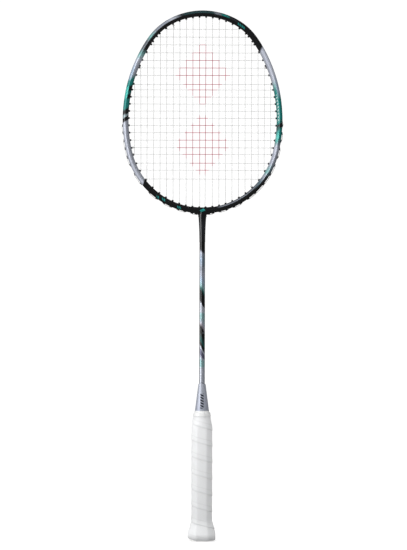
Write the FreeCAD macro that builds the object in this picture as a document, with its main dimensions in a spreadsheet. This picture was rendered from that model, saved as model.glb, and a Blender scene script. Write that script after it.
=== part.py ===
import FreeCAD, Part
import math
import os

import Sketcher

# A badminton racket. Millimetres, +Z up along the shaft with the head at the top, X across
# the string face, Y through it. The origin is the centre of the butt's end face.

V = FreeCAD.Vector
UP = V(0, 0, 1)
ACROSS = V(1, 0, 0)
THROUGH = V(0, 1, 0)
# turns a sketch so that its x runs along +Y and its y along +Z
UPRIGHT_SECTION = FreeCAD.Rotation(V(1, 1, 1), 120)

doc = FreeCAD.newDocument("badminton_racket")

# ---------------------------------------------------------------- driving dimensions
DIMENSIONS = {
    "racket_length": 675.0,
    # how far a tool or a hidden joint runs past the face that it meets
    "overrun": 1.0,
    # head frame: the outer outline is four tangent arcs a side, and the last one closes it
    "crown_radius": 90.0,
    "crown_span": 29.0,
    "shoulder_radius": 77.0,
    "shoulder_span": 27.0,
    "side_radius": 185.0,
    "side_span": 47.5,
    # head frame: section
    "frame_width": 7.4,
    "frame_depth": 11.2,
    "frame_outer_flat": 5.8,
    "frame_inner_flat": 4.2,
    "frame_ridge": 0.4,
    "frame_round": 1.2,
    "frame_wall": 1.1,
    "cavity_top": 4.5,
    "cavity_top_width": 7.8,
    "cavity_bottom_width": 3.4,
    "groove_width": 4.0,
    "groove_depth": 1.9,
    "groove_end_angle": 91.6,
    # strings
    "string_diameter": 0.68,
    "layer_offset": 0.36,
    "main_count": 22,
    "main_spacing": 8.46,
    "cross_count": 21,
    "cross_top": 652.4,
    "cross_bottom": 459.7,
    "cross_spread": 0.06,
    "string_lift": 0.45,
    "mouth_gap": 0.5,
    "bend_radius": 0.9,
    "loop_radius": 100.0,
    "loop_step": 12.0,
    "knot_radius": 1.2,
    # grommets
    "barrel_diameter": 2.5,
    "barrel_bore": 1.6,
    "flange_diameter": 3.6,
    "flange_height": 0.7,
    "barrel_proud": 1.5,
    "drill_clearance": 0.1,
    "drill_reach": 15.15,
    "grommet_lean": 0.3,
    "share_distance": 2.8,
    "shared_barrel_diameter": 3.0,
    "shared_bore": 2.0,
    "shared_flange_diameter": 3.8,
    "throat_grommet_angle": 60.0,
    # throat
    "throat_gap": 12.0,
    "throat_lean": 27.0,
    "throat_seat_extra": 0.9,
    "throat_skin": 0.4,
    "throat_half_width": 15.5,
    "throat_shoulder_z": 418.6,
    "throat_neck_z": 414.8,
    "throat_neck_diameter": 10.3,
    "throat_collar_bottom": 380.0,
    "throat_shoulder_depth": 9.2,
    "throat_shoulder_round": 1.8,
    "hub_width": 10.8,
    "lug_reach_angle": 15.0,
    "lug_width": 3.0,
    "lug_depth": 3.2,
    "lug_clearance": 0.15,
    # shaft
    "shaft_diameter": 7.1,
    "shaft_bore": 4.6,
    "shaft_bottom": 45.0,
    "shaft_top": 412.0,
    "stem_bottom": 372.0,
    # cone
    "cone_top": 199.4,
    "cone_base": 147.0,
    "cone_top_diameter": 9.2,
    "cone_base_diameter": 22.6,
    "cone_wall": 1.6,
    "cone_space_top": 180.0,
    # handle
    "core_width": 23.4,
    "core_depth": 21.6,
    "core_front_flat": 11.4,
    "core_hollow": 12.0,
    "core_hollow_top": 40.0,
    "core_bottom": 2.5,
    "spigot_diameter": 13.0,
    "spigot_top": 168.0,
    "tape_thickness": 1.8,
    "tape_bottom": 1.2,
    "tape_top": 163.0,
    "tape_top_diameter": 20.4,
    "band_bottom": 158.5,
    "band_top": 166.5,
    "band_thickness": 0.4,
    "band_taper": 1.0,
    # butt
    "flare_top": 26.0,
    "flare_bottom": 8.0,
    "flare_growth": 7.5,
    "butt_round": 3.2,
    "butt_turn_in": 0.5,
    "cap_wall": 0.6,
    "badge_diameter": 17.0,
    "badge_thickness": 0.8,
    "badge_clearance": 0.2,
}

dims = doc.addObject("Spreadsheet::Sheet", "dims")
for row, (alias, value) in enumerate(DIMENSIONS.items(), start=1):
    dims.set(f"A{row}", alias)
    dims.set(f"B{row}", str(value))
    dims.setAlias(f"B{row}", alias)
doc.recompute()


def size(alias):
    """A driving dimension, read from the sheet."""
    return float(dims.get(alias))


# ---------------------------------------------------------------- outline of the head
ARC_NAMES = ["crown", "shoulder", "side"]


def outline_arcs():
    """The outer outline's right half: (centre, radius, first and last angle from the top)."""
    arcs = []
    angle = 0.0
    x, z = 0.0, size("racket_length")
    for name in ARC_NAMES:
        radius = size(name + "_radius")
        last = angle + math.radians(size(name + "_span"))
        centre = (x - radius * math.sin(angle), z - radius * math.cos(angle))
        x = centre[0] + radius * math.sin(last)
        z = centre[1] + radius * math.cos(last)
        arcs.append((centre, radius, angle, last))
        angle = last
    radius = x / math.sin(angle)
    arcs.append(((0.0, z - radius * math.cos(angle)), radius, angle, math.pi))
    return arcs


ARCS = outline_arcs()
GROOVE_END = math.radians(size("groove_end_angle"))


def head_point(angle, inset):
    """The point of the head's right half whose outward normal is at angle from +Z."""
    for centre, radius, first, last in ARCS:
        if angle <= last:
            break
    reach = radius - inset
    return V(centre[0] + reach * math.sin(angle), 0, centre[1] + reach * math.cos(angle))


BISECT_ROUNDS = 60


def bisect(measure, low, high):
    """The angle between low and high where a rising measure passes zero."""
    for _ in range(BISECT_ROUNDS):
        middle = (low + high) / 2
        if measure(middle) < 0:
            low = middle
        else:
            high = middle
    return (low + high) / 2


# ---------------------------------------------------------------- document helpers
def cylinder(name, diameter, bottom, top):
    """An upright cylinder, its sizes given as expressions of the sheet."""
    part = doc.addObject("Part::Cylinder", name)
    part.setExpression("Radius", f"({diameter}) / 2")
    part.setExpression("Height", f"({top}) - ({bottom})")
    part.setExpression("Placement.Base.z", bottom)
    return part


def cone(name, bottom_diameter, top_diameter, bottom, top):
    """An upright cone frustum, its sizes given as expressions of the sheet."""
    part = doc.addObject("Part::Cone", name)
    part.setExpression("Radius1", f"({bottom_diameter}) / 2")
    part.setExpression("Radius2", f"({top_diameter}) / 2")
    part.setExpression("Height", f"({top}) - ({bottom})")
    part.setExpression("Placement.Base.z", bottom)
    return part


def fuse(name, shapes):
    part = doc.addObject("Part::MultiFuse", name)
    part.Shapes = shapes
    part.Refine = True
    return part


def cut(name, base, tools):
    """Base without its tools, taken away one after another."""
    for number, tool in enumerate(tools, start=1):
        last = number == len(tools)
        part = doc.addObject("Part::Cut", name if last else f"{name}_cut_{number}")
        part.Base = base
        part.Tool = tool
        part.Refine = True
        base = part
    return part


def mirrored(name, source):
    part = doc.addObject("Part::Mirroring", name)
    part.Source = source
    part.Normal = ACROSS
    return part


def solids_feature(name, solids):
    """A feature that holds one solid, or a group of separate ones."""
    part = doc.addObject("Part::Feature", name)
    part.Shape = solids[0] if len(solids) == 1 else Part.makeCompound(solids)
    part.Placement = FreeCAD.Placement()
    return part


def bind(sketch, kind, arguments, name, expression):
    """A named dimension of a sketch, driven by the sheet."""
    index = sketch.addConstraint(Sketcher.Constraint(kind, *arguments))
    sketch.renameConstraint(index, name)
    sketch.setExpression("Constraints." + name, expression)


def face_sketch(name):
    """A sketch in the XZ plane, where the sketch's y is +Z."""
    sketch = doc.addObject("Sketcher::SketchObject", name)
    sketch.Placement = FreeCAD.Placement(V(0, 0, 0), FreeCAD.Rotation(ACROSS, 90))
    return sketch


def add_polygon(sketch, points):
    """A closed outline of straight lines, one from each point to the next."""
    count = len(points)
    for index, (x, y) in enumerate(points):
        next_x, next_y = points[(index + 1) % count]
        sketch.addGeometry(Part.LineSegment(V(x, y, 0), V(next_x, next_y, 0)))
    for index in range(count):
        joint = Sketcher.Constraint("Coincident", index, 2, (index + 1) % count, 1)
        sketch.addConstraint(joint)


def spine_sketch(name, closing):
    """The right half of the head's outer outline, from the crown down.

    It runs to the throat's gap if it is closing, and otherwise to the groove's end.
    """
    sketch = face_sketch(name)
    end_offset = size("throat_gap") / 2
    arcs = list(ARCS)
    if not closing:
        centre, radius, first, _ = arcs[2]
        arcs = arcs[:2] + [(centre, radius, first, GROOVE_END)]
    for centre, radius, first, last in arcs:
        circle = Part.Circle(V(centre[0], centre[1], 0), UP, radius)
        start = math.pi / 2 - last
        end = math.pi / 2 - first
        if closing and last == math.pi:
            start = math.asin(end_offset / radius) - math.pi / 2
        sketch.addGeometry(Part.ArcOfCircle(circle, start, end))
    sketch.addConstraint(Sketcher.Constraint("PointOnObject", 0, 2, -2))
    sketch.addConstraint(Sketcher.Constraint("PointOnObject", 0, 3, -2))
    for index in range(len(arcs) - 1):
        sketch.addConstraint(Sketcher.Constraint("Tangent", index, 1, index + 1, 2))
    for index, arc in enumerate(ARC_NAMES):
        bind(sketch, "Radius", (index, arcs[index][1]), arc + "_radius", f"dims.{arc}_radius")
    for index, arc in enumerate(ARC_NAMES):
        centre, radius, first, last = arcs[index]
        span = f"dims.{arc}_span * 1 deg"
        if arc == "side" and not closing:
            span = "(dims.groove_end_angle - dims.crown_span - dims.shoulder_span) * 1 deg"
        bind(sketch, "Angle", (index, last - first), arc + "_span", span)
    top = (-1, 1, 0, 2, size("racket_length"))
    bind(sketch, "DistanceY", top, "top", "dims.racket_length")
    if closing:
        sketch.addConstraint(Sketcher.Constraint("PointOnObject", 3, 3, -2))
        end = (-1, 1, 3, 1, end_offset)
        bind(sketch, "DistanceX", end, "end_offset", "dims.throat_gap / 2")
    return sketch


def section_sketch(name, levels):
    """A section through the frame at the crown, mirrored about its middle plane.

    Each level is (height above the frame's inner face, full width), both as expressions.
    """
    sketch = doc.addObject("Sketcher::SketchObject", name)
    sketch.Placement = FreeCAD.Placement(V(0, 0, 0), UPRIGHT_SECTION)
    sketch.setExpression("Placement.Base.z", "dims.racket_length - dims.frame_width")
    heights = [evaluate(height) for height, width in levels]
    halves = [evaluate(width) / 2 for height, width in levels]
    right = list(zip(halves, heights))
    left = [(-half, height) for half, height in reversed(right)]
    add_polygon(sketch, right + left)
    last = 2 * len(levels) - 1
    for index, (height, width) in enumerate(levels):
        other = last - index
        sketch.addConstraint(Sketcher.Constraint("Symmetric", index, 1, other, 1, -2))
        across = (other, 1, index, 1, 2 * halves[index])
        bind(sketch, "DistanceX", across, f"width_{index + 1}", width)
        if heights[index] == 0:
            sketch.addConstraint(Sketcher.Constraint("PointOnObject", index, 1, -1))
        else:
            above = (-1, 1, index, 1, heights[index])
            bind(sketch, "DistanceY", above, f"height_{index + 1}", height)
    return sketch


def evaluate(expression):
    """The value of an expression of the sheet."""
    return float(dims.evalExpression(expression))


def sweep(name, section, spine):
    """The section swept along every edge of the spine."""
    part = doc.addObject("Part::Sweep", name)
    part.Sections = [section]
    part.Spine = (spine, [f"Edge{index + 1}" for index in range(len(spine.Shape.Edges))])
    part.Solid = True
    part.Frenet = False
    return part


# ---------------------------------------------------------------- string layout
FRAME_WIDTH = size("frame_width")
STRING_RADIUS = size("string_diameter") / 2
FLANGE_HEIGHT = size("flange_height")
PROUD = size("barrel_proud")


class Hole:
    """A string hole in the right half of the frame, drilled from its inner face outwards."""

    def __init__(self, angle, strings):
        self.angle = angle
        self.strings = strings
        self.at_throat = ("main", 0, "bottom") in strings
        pull = sum(pull_angle(string) for string in strings) / len(strings)
        self.axis_angle = angle + size("grommet_lean") * (pull - angle)
        if self.at_throat:
            self.axis_angle = math.pi - math.radians(size("throat_lean"))
        self.mouth = head_point(angle, FRAME_WIDTH)
        self.axis = V(math.sin(self.axis_angle), 0, math.cos(self.axis_angle))
        self.normal = V(math.sin(angle), 0, math.cos(angle))
        self.seat = FRAME_WIDTH
        if angle < GROOVE_END:
            self.seat -= size("groove_depth")
        if angle > math.pi - math.asin(size("throat_half_width") / ARCS[3][1]):
            self.seat += size("throat_skin")
        if self.at_throat:
            self.seat += size("throat_seat_extra") - size("throat_skin")
            self.normal = shoulder_normal()

    def at(self, height):
        """The point of the axis at a height above the frame's inner face."""
        return self.mouth + self.axis * (height / math.cos(self.axis_angle - self.angle))

    def along(self, distance):
        """The point of the axis at a distance outwards from the inner face."""
        return self.mouth + self.axis * distance

    def shared(self):
        return len(self.strings) > 1


def shoulder_normal():
    """The outward normal of the throat fairing's sloping right shoulder."""
    drop = size("throat_shoulder_z") - size("throat_neck_z")
    run = size("throat_half_width") - size("throat_neck_diameter") / 2
    return V(drop, 0, -run).normalize()


def pull_angle(string):
    """The direction a string pulls from, as a normal's angle: mains upright, crosses level."""
    if string[0] == "cross":
        return math.pi / 2
    return 0.0 if string[2] == "top" else math.pi


def main_x(index):
    """A main string's distance from the centre line."""
    return (index + 0.5) * size("main_spacing")


def cross_z(index):
    """A cross string's height: the spacing opens a little towards the top and the bottom."""
    share = index / (size("cross_count") - 1)
    drop = share + size("cross_spread") * math.sin(2 * math.pi * share) / (2 * math.pi)
    return size("cross_top") - (size("cross_top") - size("cross_bottom")) * drop


def spacing(first, second):
    """How near two holes come, at the frame's inner face or at their flanges."""
    inside = first.mouth.distanceToPoint(second.mouth)
    outside = first.at(first.seat).distanceToPoint(second.at(second.seat))
    return min(inside, outside)


def string_holes():
    """The holes of the right half, from the crown to the throat, near ones merged."""
    ends = []
    for index in range(int(size("main_count")) // 2):
        x = main_x(index)
        top = bisect(lambda a: head_point(a, FRAME_WIDTH).x - x, 0, math.pi / 2)
        bottom = bisect(lambda a: x - head_point(a, FRAME_WIDTH).x, math.pi / 2, math.pi)
        ends.append((top, ("main", index, "top")))
        ends.append((bottom, ("main", index, "bottom")))
    for index in range(int(size("cross_count"))):
        z = cross_z(index)
        angle = bisect(lambda a: z - head_point(a, FRAME_WIDTH).z, 0, math.pi)
        ends.append((angle, ("cross", index)))
    ends.sort()
    holes = []
    for angle, string in ends:
        hole = Hole(angle, [string])
        if holes and spacing(holes[-1], hole) < size("share_distance"):
            last = holes.pop()
            hole = Hole((last.angle + angle) / 2, last.strings + [string])
        holes.append(hole)
    return holes


HOLES = string_holes()
HOLE_OF = {string: hole for hole in HOLES for string in hole.strings}


# ---------------------------------------------------------------- head frame
frame_spine = spine_sketch("frame_spine", True)
groove_spine = spine_sketch("groove_spine", False)
frame_section = section_sketch(
    "frame_section",
    [
        ("dims.frame_width", "dims.frame_outer_flat"),
        ("dims.frame_width / 2 + dims.frame_ridge", "dims.frame_depth"),
        ("0", "dims.frame_inner_flat"),
    ],
)
cavity_section = section_sketch(
    "cavity_section",
    [
        ("dims.cavity_top", "dims.cavity_top_width"),
        ("dims.frame_wall", "dims.cavity_bottom_width"),
    ],
)
groove_section = section_sketch(
    "groove_section",
    [
        ("dims.frame_width + dims.overrun", "dims.groove_width"),
        ("dims.frame_width - dims.groove_depth", "dims.groove_width"),
    ],
)
doc.recompute()

frame_half = sweep("frame_half", frame_section, frame_spine)
frame_cavity = sweep("frame_cavity", cavity_section, frame_spine)
frame_groove = sweep("frame_groove", groove_section, groove_spine)
doc.recompute()

frame_rounded = doc.addObject("Part::Fillet", "frame_rounded")
frame_rounded.Base = frame_half
frame_rounded.Edges = [
    (index, size("frame_round"), size("frame_round"))
    for index, edge in enumerate(frame_half.Shape.Edges, start=1)
    if isinstance(edge.Curve, Part.Circle) and edge.Curve.Radius > size("shoulder_radius") / 2
]
frame_side = cut("frame_side", frame_rounded, [frame_cavity, frame_groove])
frame_ring = fuse("frame_ring", [frame_side, mirrored("frame_other_side", frame_side)])
doc.recompute()


def mirrored_solids(solids):
    """The left half's copies of right-half solids."""
    return [solid.mirror(V(0, 0, 0), ACROSS) for solid in solids]


def rod(start, end, diameter):
    """A round bar from one point to another."""
    along = end - start
    return Part.makeCylinder(diameter / 2, along.Length, start, along)


def drill(hole):
    """The bar that bores a string hole through both walls of the frame."""
    barrel = "shared_barrel_diameter" if hole.shared() else "barrel_diameter"
    end = hole.along(size("drill_reach"))
    return rod(hole.along(-PROUD), end, size(barrel) + size("drill_clearance"))


right_drills = [drill(hole) for hole in HOLES]
drills = solids_feature("string_drills", right_drills + mirrored_solids(right_drills))
head_frame = cut("head_frame", frame_ring, [drills])

# ---------------------------------------------------------------- shaft and throat
shaft = cut(
    "shaft",
    cylinder("shaft_bar", "dims.shaft_diameter", "dims.shaft_bottom", "dims.shaft_top"),
    [cylinder("shaft_hollow", "dims.shaft_bore", "dims.shaft_bottom", "dims.shaft_top")],
)

# the lugs follow the closing arc inside the hollow frame, either side of the hub
closing_centre, closing_radius, _, _ = ARCS[3]
frame_bottom = closing_centre[1] - closing_radius
lug_sketch = doc.addObject("Sketcher::SketchObject", "lug_section")
lug_sketch.Placement = FreeCAD.Placement(V(0, 0, 0), UPRIGHT_SECTION)
half_lug = size("lug_depth") / 2
lug_low = frame_bottom + FRAME_WIDTH - size("cavity_top") + size("lug_clearance")
lug_high = lug_low + size("lug_width")
add_polygon(
    lug_sketch,
    [(half_lug, lug_low), (half_lug, lug_high), (-half_lug, lug_high), (-half_lug, lug_low)],
)
lugs = doc.addObject("Part::Revolution", "t_joint_lugs")
lugs.Source = lug_sketch
lugs.Axis = THROUGH
lugs.Base = V(0, 0, closing_centre[1])
lugs.setExpression("Angle", "2 * dims.lug_reach_angle")
lugs.Symmetric = True
lugs.Solid = True
hub = doc.addObject("Part::Box", "t_joint_hub")
hub.setExpression("Length", "dims.hub_width")
hub.setExpression("Width", "dims.lug_depth")
hub.Height = lug_high - size("shaft_top") + size("overrun")
hub.setExpression("Placement.Base.x", "-dims.hub_width / 2")
hub.setExpression("Placement.Base.y", "-dims.lug_depth / 2")
hub.setExpression("Placement.Base.z", "dims.shaft_top")
stem = cylinder(
    "t_joint_stem", "dims.shaft_bore", "dims.stem_bottom", "dims.shaft_top + dims.overrun"
)
t_joint = cut("t_joint", fuse("t_joint_blank", [lugs, hub, stem]), [drills])
doc.recompute()

EDGE_TOLERANCE = 0.01

# the fairing is moulded round the frame's two ends and runs down over the top of the shaft
collar_sketch = face_sketch("collar_outline")
collar_low = size("throat_collar_bottom")
neck_z = size("throat_neck_z")
hub_top = frame_bottom + FRAME_WIDTH / 2
collar_radius = size("shaft_diameter") / 2 + size("throat_skin") / 2
neck_radius = size("throat_neck_diameter") / 2
rise = neck_z - collar_low
spread = neck_radius - collar_radius
flute_radius = (rise**2 + spread**2) / (2 * spread)
flute_centre = V(collar_radius + flute_radius, collar_low, 0)
flute_end = math.pi - math.asin(rise / flute_radius)
flute = Part.ArcOfCircle(Part.Circle(flute_centre, UP, flute_radius), flute_end, math.pi)
corners = [
    V(neck_radius, neck_z, 0),
    V(neck_radius, hub_top, 0),
    V(0, hub_top, 0),
    V(0, collar_low, 0),
    V(collar_radius, collar_low, 0),
]
collar_sketch.addGeometry(flute)
for start, end in zip(corners, corners[1:]):
    collar_sketch.addGeometry(Part.LineSegment(start, end))
collar = doc.addObject("Part::Revolution", "throat_collar")
collar.Source = collar_sketch
collar.Axis = UP
collar.Solid = True

shoulder_sketch = face_sketch("shoulder_outline")
wing = size("throat_half_width")
shoulder_z = size("throat_shoulder_z")
add_polygon(
    shoulder_sketch,
    [
        (-wing, shoulder_z),
        (-neck_radius, neck_z),
        (neck_radius, neck_z),
        (wing, shoulder_z),
        (wing, hub_top),
        (-wing, hub_top),
    ],
)
shoulders = doc.addObject("Part::Extrusion", "throat_shoulders")
shoulders.Base = shoulder_sketch
shoulders.DirMode = "Custom"
shoulders.Dir = THROUGH
shoulders.setExpression("LengthFwd", "dims.throat_shoulder_depth")
shoulders.Symmetric = True
shoulders.Solid = True
doc.recompute()
rounded_shoulders = doc.addObject("Part::Fillet", "throat_shoulders_rounded")
rounded_shoulders.Base = shoulders
rounded_shoulders.Edges = [
    (index, size("throat_shoulder_round"), size("throat_shoulder_round"))
    for index, edge in enumerate(shoulders.Shape.Edges, start=1)
    if edge.BoundBox.YLength < EDGE_TOLERANCE and edge.BoundBox.ZMax < shoulder_z + EDGE_TOLERANCE
]

skin = size("throat_skin")
sleeve_sketch = doc.addObject("Sketcher::SketchObject", "sleeve_section")
sleeve_sketch.Placement = lug_sketch.Placement
outer_flat = size("frame_outer_flat") / 2 + skin / 2
inner_flat = size("frame_inner_flat") / 2 + skin / 2
ridge_half = size("frame_depth") / 2 + skin
ridge_z = frame_bottom + FRAME_WIDTH / 2 - size("frame_ridge")
sleeve_bottom = frame_bottom - skin
sleeve_top = frame_bottom + FRAME_WIDTH + skin
add_polygon(
    sleeve_sketch,
    [
        (outer_flat, sleeve_bottom),
        (ridge_half, ridge_z),
        (inner_flat, sleeve_top),
        (-inner_flat, sleeve_top),
        (-ridge_half, ridge_z),
        (-outer_flat, sleeve_bottom),
    ],
)
sleeve = doc.addObject("Part::Revolution", "throat_sleeve")
sleeve.Source = sleeve_sketch
sleeve.Axis = THROUGH
sleeve.Base = V(0, 0, closing_centre[1])
sleeve.Angle = 2 * math.degrees(math.asin(wing / closing_radius))
sleeve.Symmetric = True
sleeve.Solid = True
doc.recompute()
sleeve_rounded = doc.addObject("Part::Fillet", "throat_sleeve_rounded")
sleeve_rounded.Base = sleeve
sleeve_rounded.Edges = [
    (index, size("frame_round"), size("frame_round"))
    for index, edge in enumerate(sleeve.Shape.Edges, start=1)
    if isinstance(edge.Curve, Part.Circle)
]
fairing_blank = fuse("fairing_blank", [collar, rounded_shoulders, sleeve_rounded])
fairing_core = [
    frame_rounded,
    mirrored("frame_rounded_other_side", frame_rounded),
    cylinder(
        "shaft_space",
        "dims.shaft_diameter",
        "dims.throat_collar_bottom - dims.overrun",
        "dims.shaft_top",
    ),
    doc.t_joint_blank,
    drills,
]
throat_fairing = cut("throat_fairing", fairing_blank, fairing_core)
doc.recompute()


# ---------------------------------------------------------------- grommets
def grommet(hole):
    """A flanged nylon bush: its barrel stands proud inside, its flange seats outside."""
    kind = "shared_" if hole.shared() else ""
    barrel_diameter = size(kind + "barrel_diameter")
    bore = size("shared_bore") if hole.shared() else size("barrel_bore")
    seat = hole.at(hole.seat)
    top = hole.at(hole.seat + FLANGE_HEIGHT)
    inner_end = hole.along(-PROUD)
    barrel = rod(inner_end, seat + hole.axis * (FLANGE_HEIGHT / 2), barrel_diameter)
    flange_radius = size(kind + "flange_diameter") / 2
    flange = Part.makeCylinder(flange_radius, FLANGE_HEIGHT, seat, hole.normal)
    hollow = rod(inner_end - hole.axis, top + hole.axis, bore)
    return barrel.fuse(flange).cut(hollow).removeSplitter().Solids[0]


single_holes = [hole for hole in HOLES if not hole.shared()]
crown_end = math.radians(size("crown_span") + size("shoulder_span"))
throat_start = math.radians(180 - size("throat_grommet_angle"))
crown_bushes = [grommet(hole) for hole in single_holes if hole.angle < crown_end]
side_bushes = [grommet(hole) for hole in single_holes if crown_end <= hole.angle < throat_start]
throat_bushes = [grommet(hole) for hole in single_holes if hole.angle >= throat_start]
shared_bushes = [grommet(hole) for hole in HOLES if hole.shared()]
crown_grommets = solids_feature(
    "crown_grommets", crown_bushes + mirrored_solids(crown_bushes)
)
right_grommets = solids_feature("right_grommets", side_bushes)
left_grommets = solids_feature("left_grommets", mirrored_solids(side_bushes))
throat_grommets = solids_feature(
    "throat_grommets", throat_bushes + mirrored_solids(throat_bushes)
)
shared_grommets = solids_feature(
    "shared_grommets", shared_bushes + mirrored_solids(shared_bushes)
)


# ---------------------------------------------------------------- strings
RIGHT, LEFT = 1, -1
STRING_LIFT = size("string_lift")
MOUTH_GAP = size("mouth_gap")
KNOT_GAP = size("knot_radius")


def placed(point, side, layer):
    """A right-half point of the middle plane, put on one side and in one string layer."""
    return V(side * point.x, layer, point.z)


def outer_corner(hole):
    return hole.at(hole.seat + FLANGE_HEIGHT + STRING_LIFT)


def inner_corner(hole):
    return hole.along(-PROUD - MOUTH_GAP)


def loop_points(start, end, side, layer):
    """Points that carry a loop round the outside of the frame between two holes' corners."""
    distance = outer_corner(start).distanceToPoint(outer_corner(end))
    steps = math.ceil(distance / size("loop_step"))
    points = []
    for step in range(1, steps):
        share = step / steps
        angle = start.angle + (end.angle - start.angle) * share
        seat = start.seat + (end.seat - start.seat) * share
        height = seat + FLANGE_HEIGHT + STRING_LIFT
        points.append(placed(head_point(angle, FRAME_WIDTH - height), side, layer))
    return points


def tie_off(hole, family, step):
    """The nearest hole, towards the crown (-1) or throat (1), that this family doesn't use."""
    index = HOLES.index(hole) + step
    while any(string[0] == family for string in HOLES[index].strings):
        index += step
    return HOLES[index]


def tail(hole, family, step, side, layer):
    """From the knot at the tie-off hole out and round to the first hole's outer corner."""
    anchor = tie_off(hole, family, step)
    knot = placed(anchor.along(-PROUD - KNOT_GAP), side, layer)
    points = [knot, placed(outer_corner(anchor), side, layer)]
    return points + loop_points(anchor, hole, side, layer)


# turns below the first are left as they are, turns above the second are at a hole
STRAIGHT_TURN = 1e-3
SHARP_TURN = math.radians(15)
# the most of a run that one arc's tangent may take
TANGENT_SHARE = 0.45


def rounded_wire(points, bend_radius, loop_radius):
    """Straight runs joined by tangent arcs: tight at the holes, wide round the frame."""
    edges = []
    start = points[0]
    for before, corner, after in zip(points, points[1:], points[2:]):
        back = (before - corner).normalize()
        ahead = (after - corner).normalize()
        turn = math.pi - back.getAngle(ahead)
        if turn < STRAIGHT_TURN:
            continue
        wanted = bend_radius if turn > SHARP_TURN else loop_radius
        shorter = min((before - corner).Length, (after - corner).Length)
        tangent = min(wanted * math.tan(turn / 2), TANGENT_SHARE * shorter)
        radius = tangent / math.tan(turn / 2)
        inwards = (back + ahead).normalize()
        middle = corner + inwards * (radius / math.cos(turn / 2) - radius)
        arc_start = corner + back * tangent
        arc_end = corner + ahead * tangent
        edges.append(Part.LineSegment(start, arc_start).toShape())
        edges.append(Part.Arc(arc_start, middle, arc_end).toShape())
        start = arc_end
    edges.append(Part.LineSegment(start, points[-1]).toShape())
    return Part.Wire(edges)


def string_solid(points):
    """A round string along its whole route."""
    wire = rounded_wire(points, size("bend_radius"), size("loop_radius"))
    along = points[1] - points[0]
    rim = Part.Wire(Part.makeCircle(STRING_RADIUS, points[0], along))
    solid = wire.makePipeShell([rim], True, False)
    print(f"string {wire.Length:.0f} mm, volume against section x length "
          f"{solid.Volume / (math.pi * STRING_RADIUS**2 * wire.Length):.4f}")
    return solid


def run_points(hole_from, side_from, hole_to, side_to, layer):
    """One run across the face, from outer corner to outer corner."""
    return [
        placed(outer_corner(hole_from), side_from, layer),
        placed(inner_corner(hole_from), side_from, layer),
        placed(inner_corner(hole_to), side_to, layer),
        placed(outer_corner(hole_to), side_to, layer),
    ]


def main_route(layer):
    """Up and down from the left to the right, a loop round the frame between the runs."""
    half = int(size("main_count")) // 2
    columns = [(LEFT, index) for index in reversed(range(half))]
    columns += [(RIGHT, index) for index in range(half)]
    first = HOLE_OF[("main", half - 1, "bottom")]
    points = tail(first, "main", -1, LEFT, layer)
    at, leave = "bottom", "top"
    previous = None
    for side, index in columns:
        start = HOLE_OF[("main", index, at)]
        end = HOLE_OF[("main", index, leave)]
        if previous and previous[0] == side:
            points += loop_points(previous[1], start, side, layer)
        points += run_points(start, side, end, side, layer)
        previous = (side, end)
        at, leave = leave, at
    return points + tail(first, "main", -1, RIGHT, layer)[::-1]


def cross_route(layer):
    """From side to side down the face, a loop round the frame between the runs."""
    count = int(size("cross_count"))
    points = tail(HOLE_OF[("cross", 0)], "cross", -1, LEFT, layer)
    side = LEFT
    for index in range(count):
        hole = HOLE_OF[("cross", index)]
        points += run_points(hole, side, hole, -side, layer)
        side = -side
        if index + 1 < count:
            points += loop_points(hole, HOLE_OF[("cross", index + 1)], side, layer)
    return points + tail(HOLE_OF[("cross", count - 1)], "cross", 1, side, layer)[::-1]


layer_offset = size("layer_offset")
main_points = main_route(-layer_offset)
cross_points = cross_route(layer_offset)
main_string = solids_feature("main_string", [string_solid(main_points)])
cross_string = solids_feature("cross_string", [string_solid(cross_points)])
knot_centres = [main_points[0], main_points[-1], cross_points[0], cross_points[-1]]
string_knots = solids_feature(
    "string_knots",
    [Part.makeSphere(KNOT_GAP, V(point.x, 0, point.z)) for point in knot_centres],
)


# ---------------------------------------------------------------- handle
def octagon_sketch(name, height, growth):
    """The handle's octagon at a height, its flats moved out so that its width grows."""
    sketch = doc.addObject("Sketcher::SketchObject", name)
    sketch.setExpression("Placement.Base.z", height)
    width = f"dims.core_width + {growth}"
    depth = f"dims.core_depth + {growth}"
    front = f"dims.core_front_flat + ({growth}) * tan(22.5 deg)"
    side = f"{depth} - ({width}) + ({front})"
    half_width = evaluate(width) / 2
    half_depth = evaluate(depth) / 2
    half_front = evaluate(front) / 2
    half_side = evaluate(side) / 2
    add_polygon(
        sketch,
        [
            (half_width, -half_side),
            (half_width, half_side),
            (half_front, half_depth),
            (-half_front, half_depth),
            (-half_width, half_side),
            (-half_width, -half_side),
            (-half_front, -half_depth),
            (half_front, -half_depth),
        ],
    )
    for first, second in [(1, 4), (0, 5), (2, 3)]:
        sketch.addConstraint(Sketcher.Constraint("Symmetric", first, 1, second, 1, -2))
    for first, second in [(0, 1), (2, 7), (3, 6)]:
        sketch.addConstraint(Sketcher.Constraint("Symmetric", first, 1, second, 1, -1))
    bind(sketch, "DistanceX", (5, 1, 0, 1, 2 * half_width), "width", width)
    bind(sketch, "DistanceY", (7, 1, 2, 1, 2 * half_depth), "depth", depth)
    bind(sketch, "DistanceX", (3, 1, 2, 1, 2 * half_front), "front_flat", front)
    bind(sketch, "DistanceY", (0, 1, 1, 1, 2 * half_side), "side_flat", side)
    return sketch


def octagon_bar(name, growth, bottom, top):
    """An upright octagonal bar."""
    bar = doc.addObject("Part::Extrusion", name)
    bar.Base = octagon_sketch(name + "_outline", bottom, growth)
    bar.DirMode = "Custom"
    bar.Dir = UP
    bar.setExpression("LengthFwd", f"({top}) - ({bottom})")
    bar.Solid = True
    return bar


# the flare's loft: equal steps down its swell, then shares of the rounded bottom edge
SWELL_STEPS = 6
EDGE_SHARES = (1, 0.5, 0.15)


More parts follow.
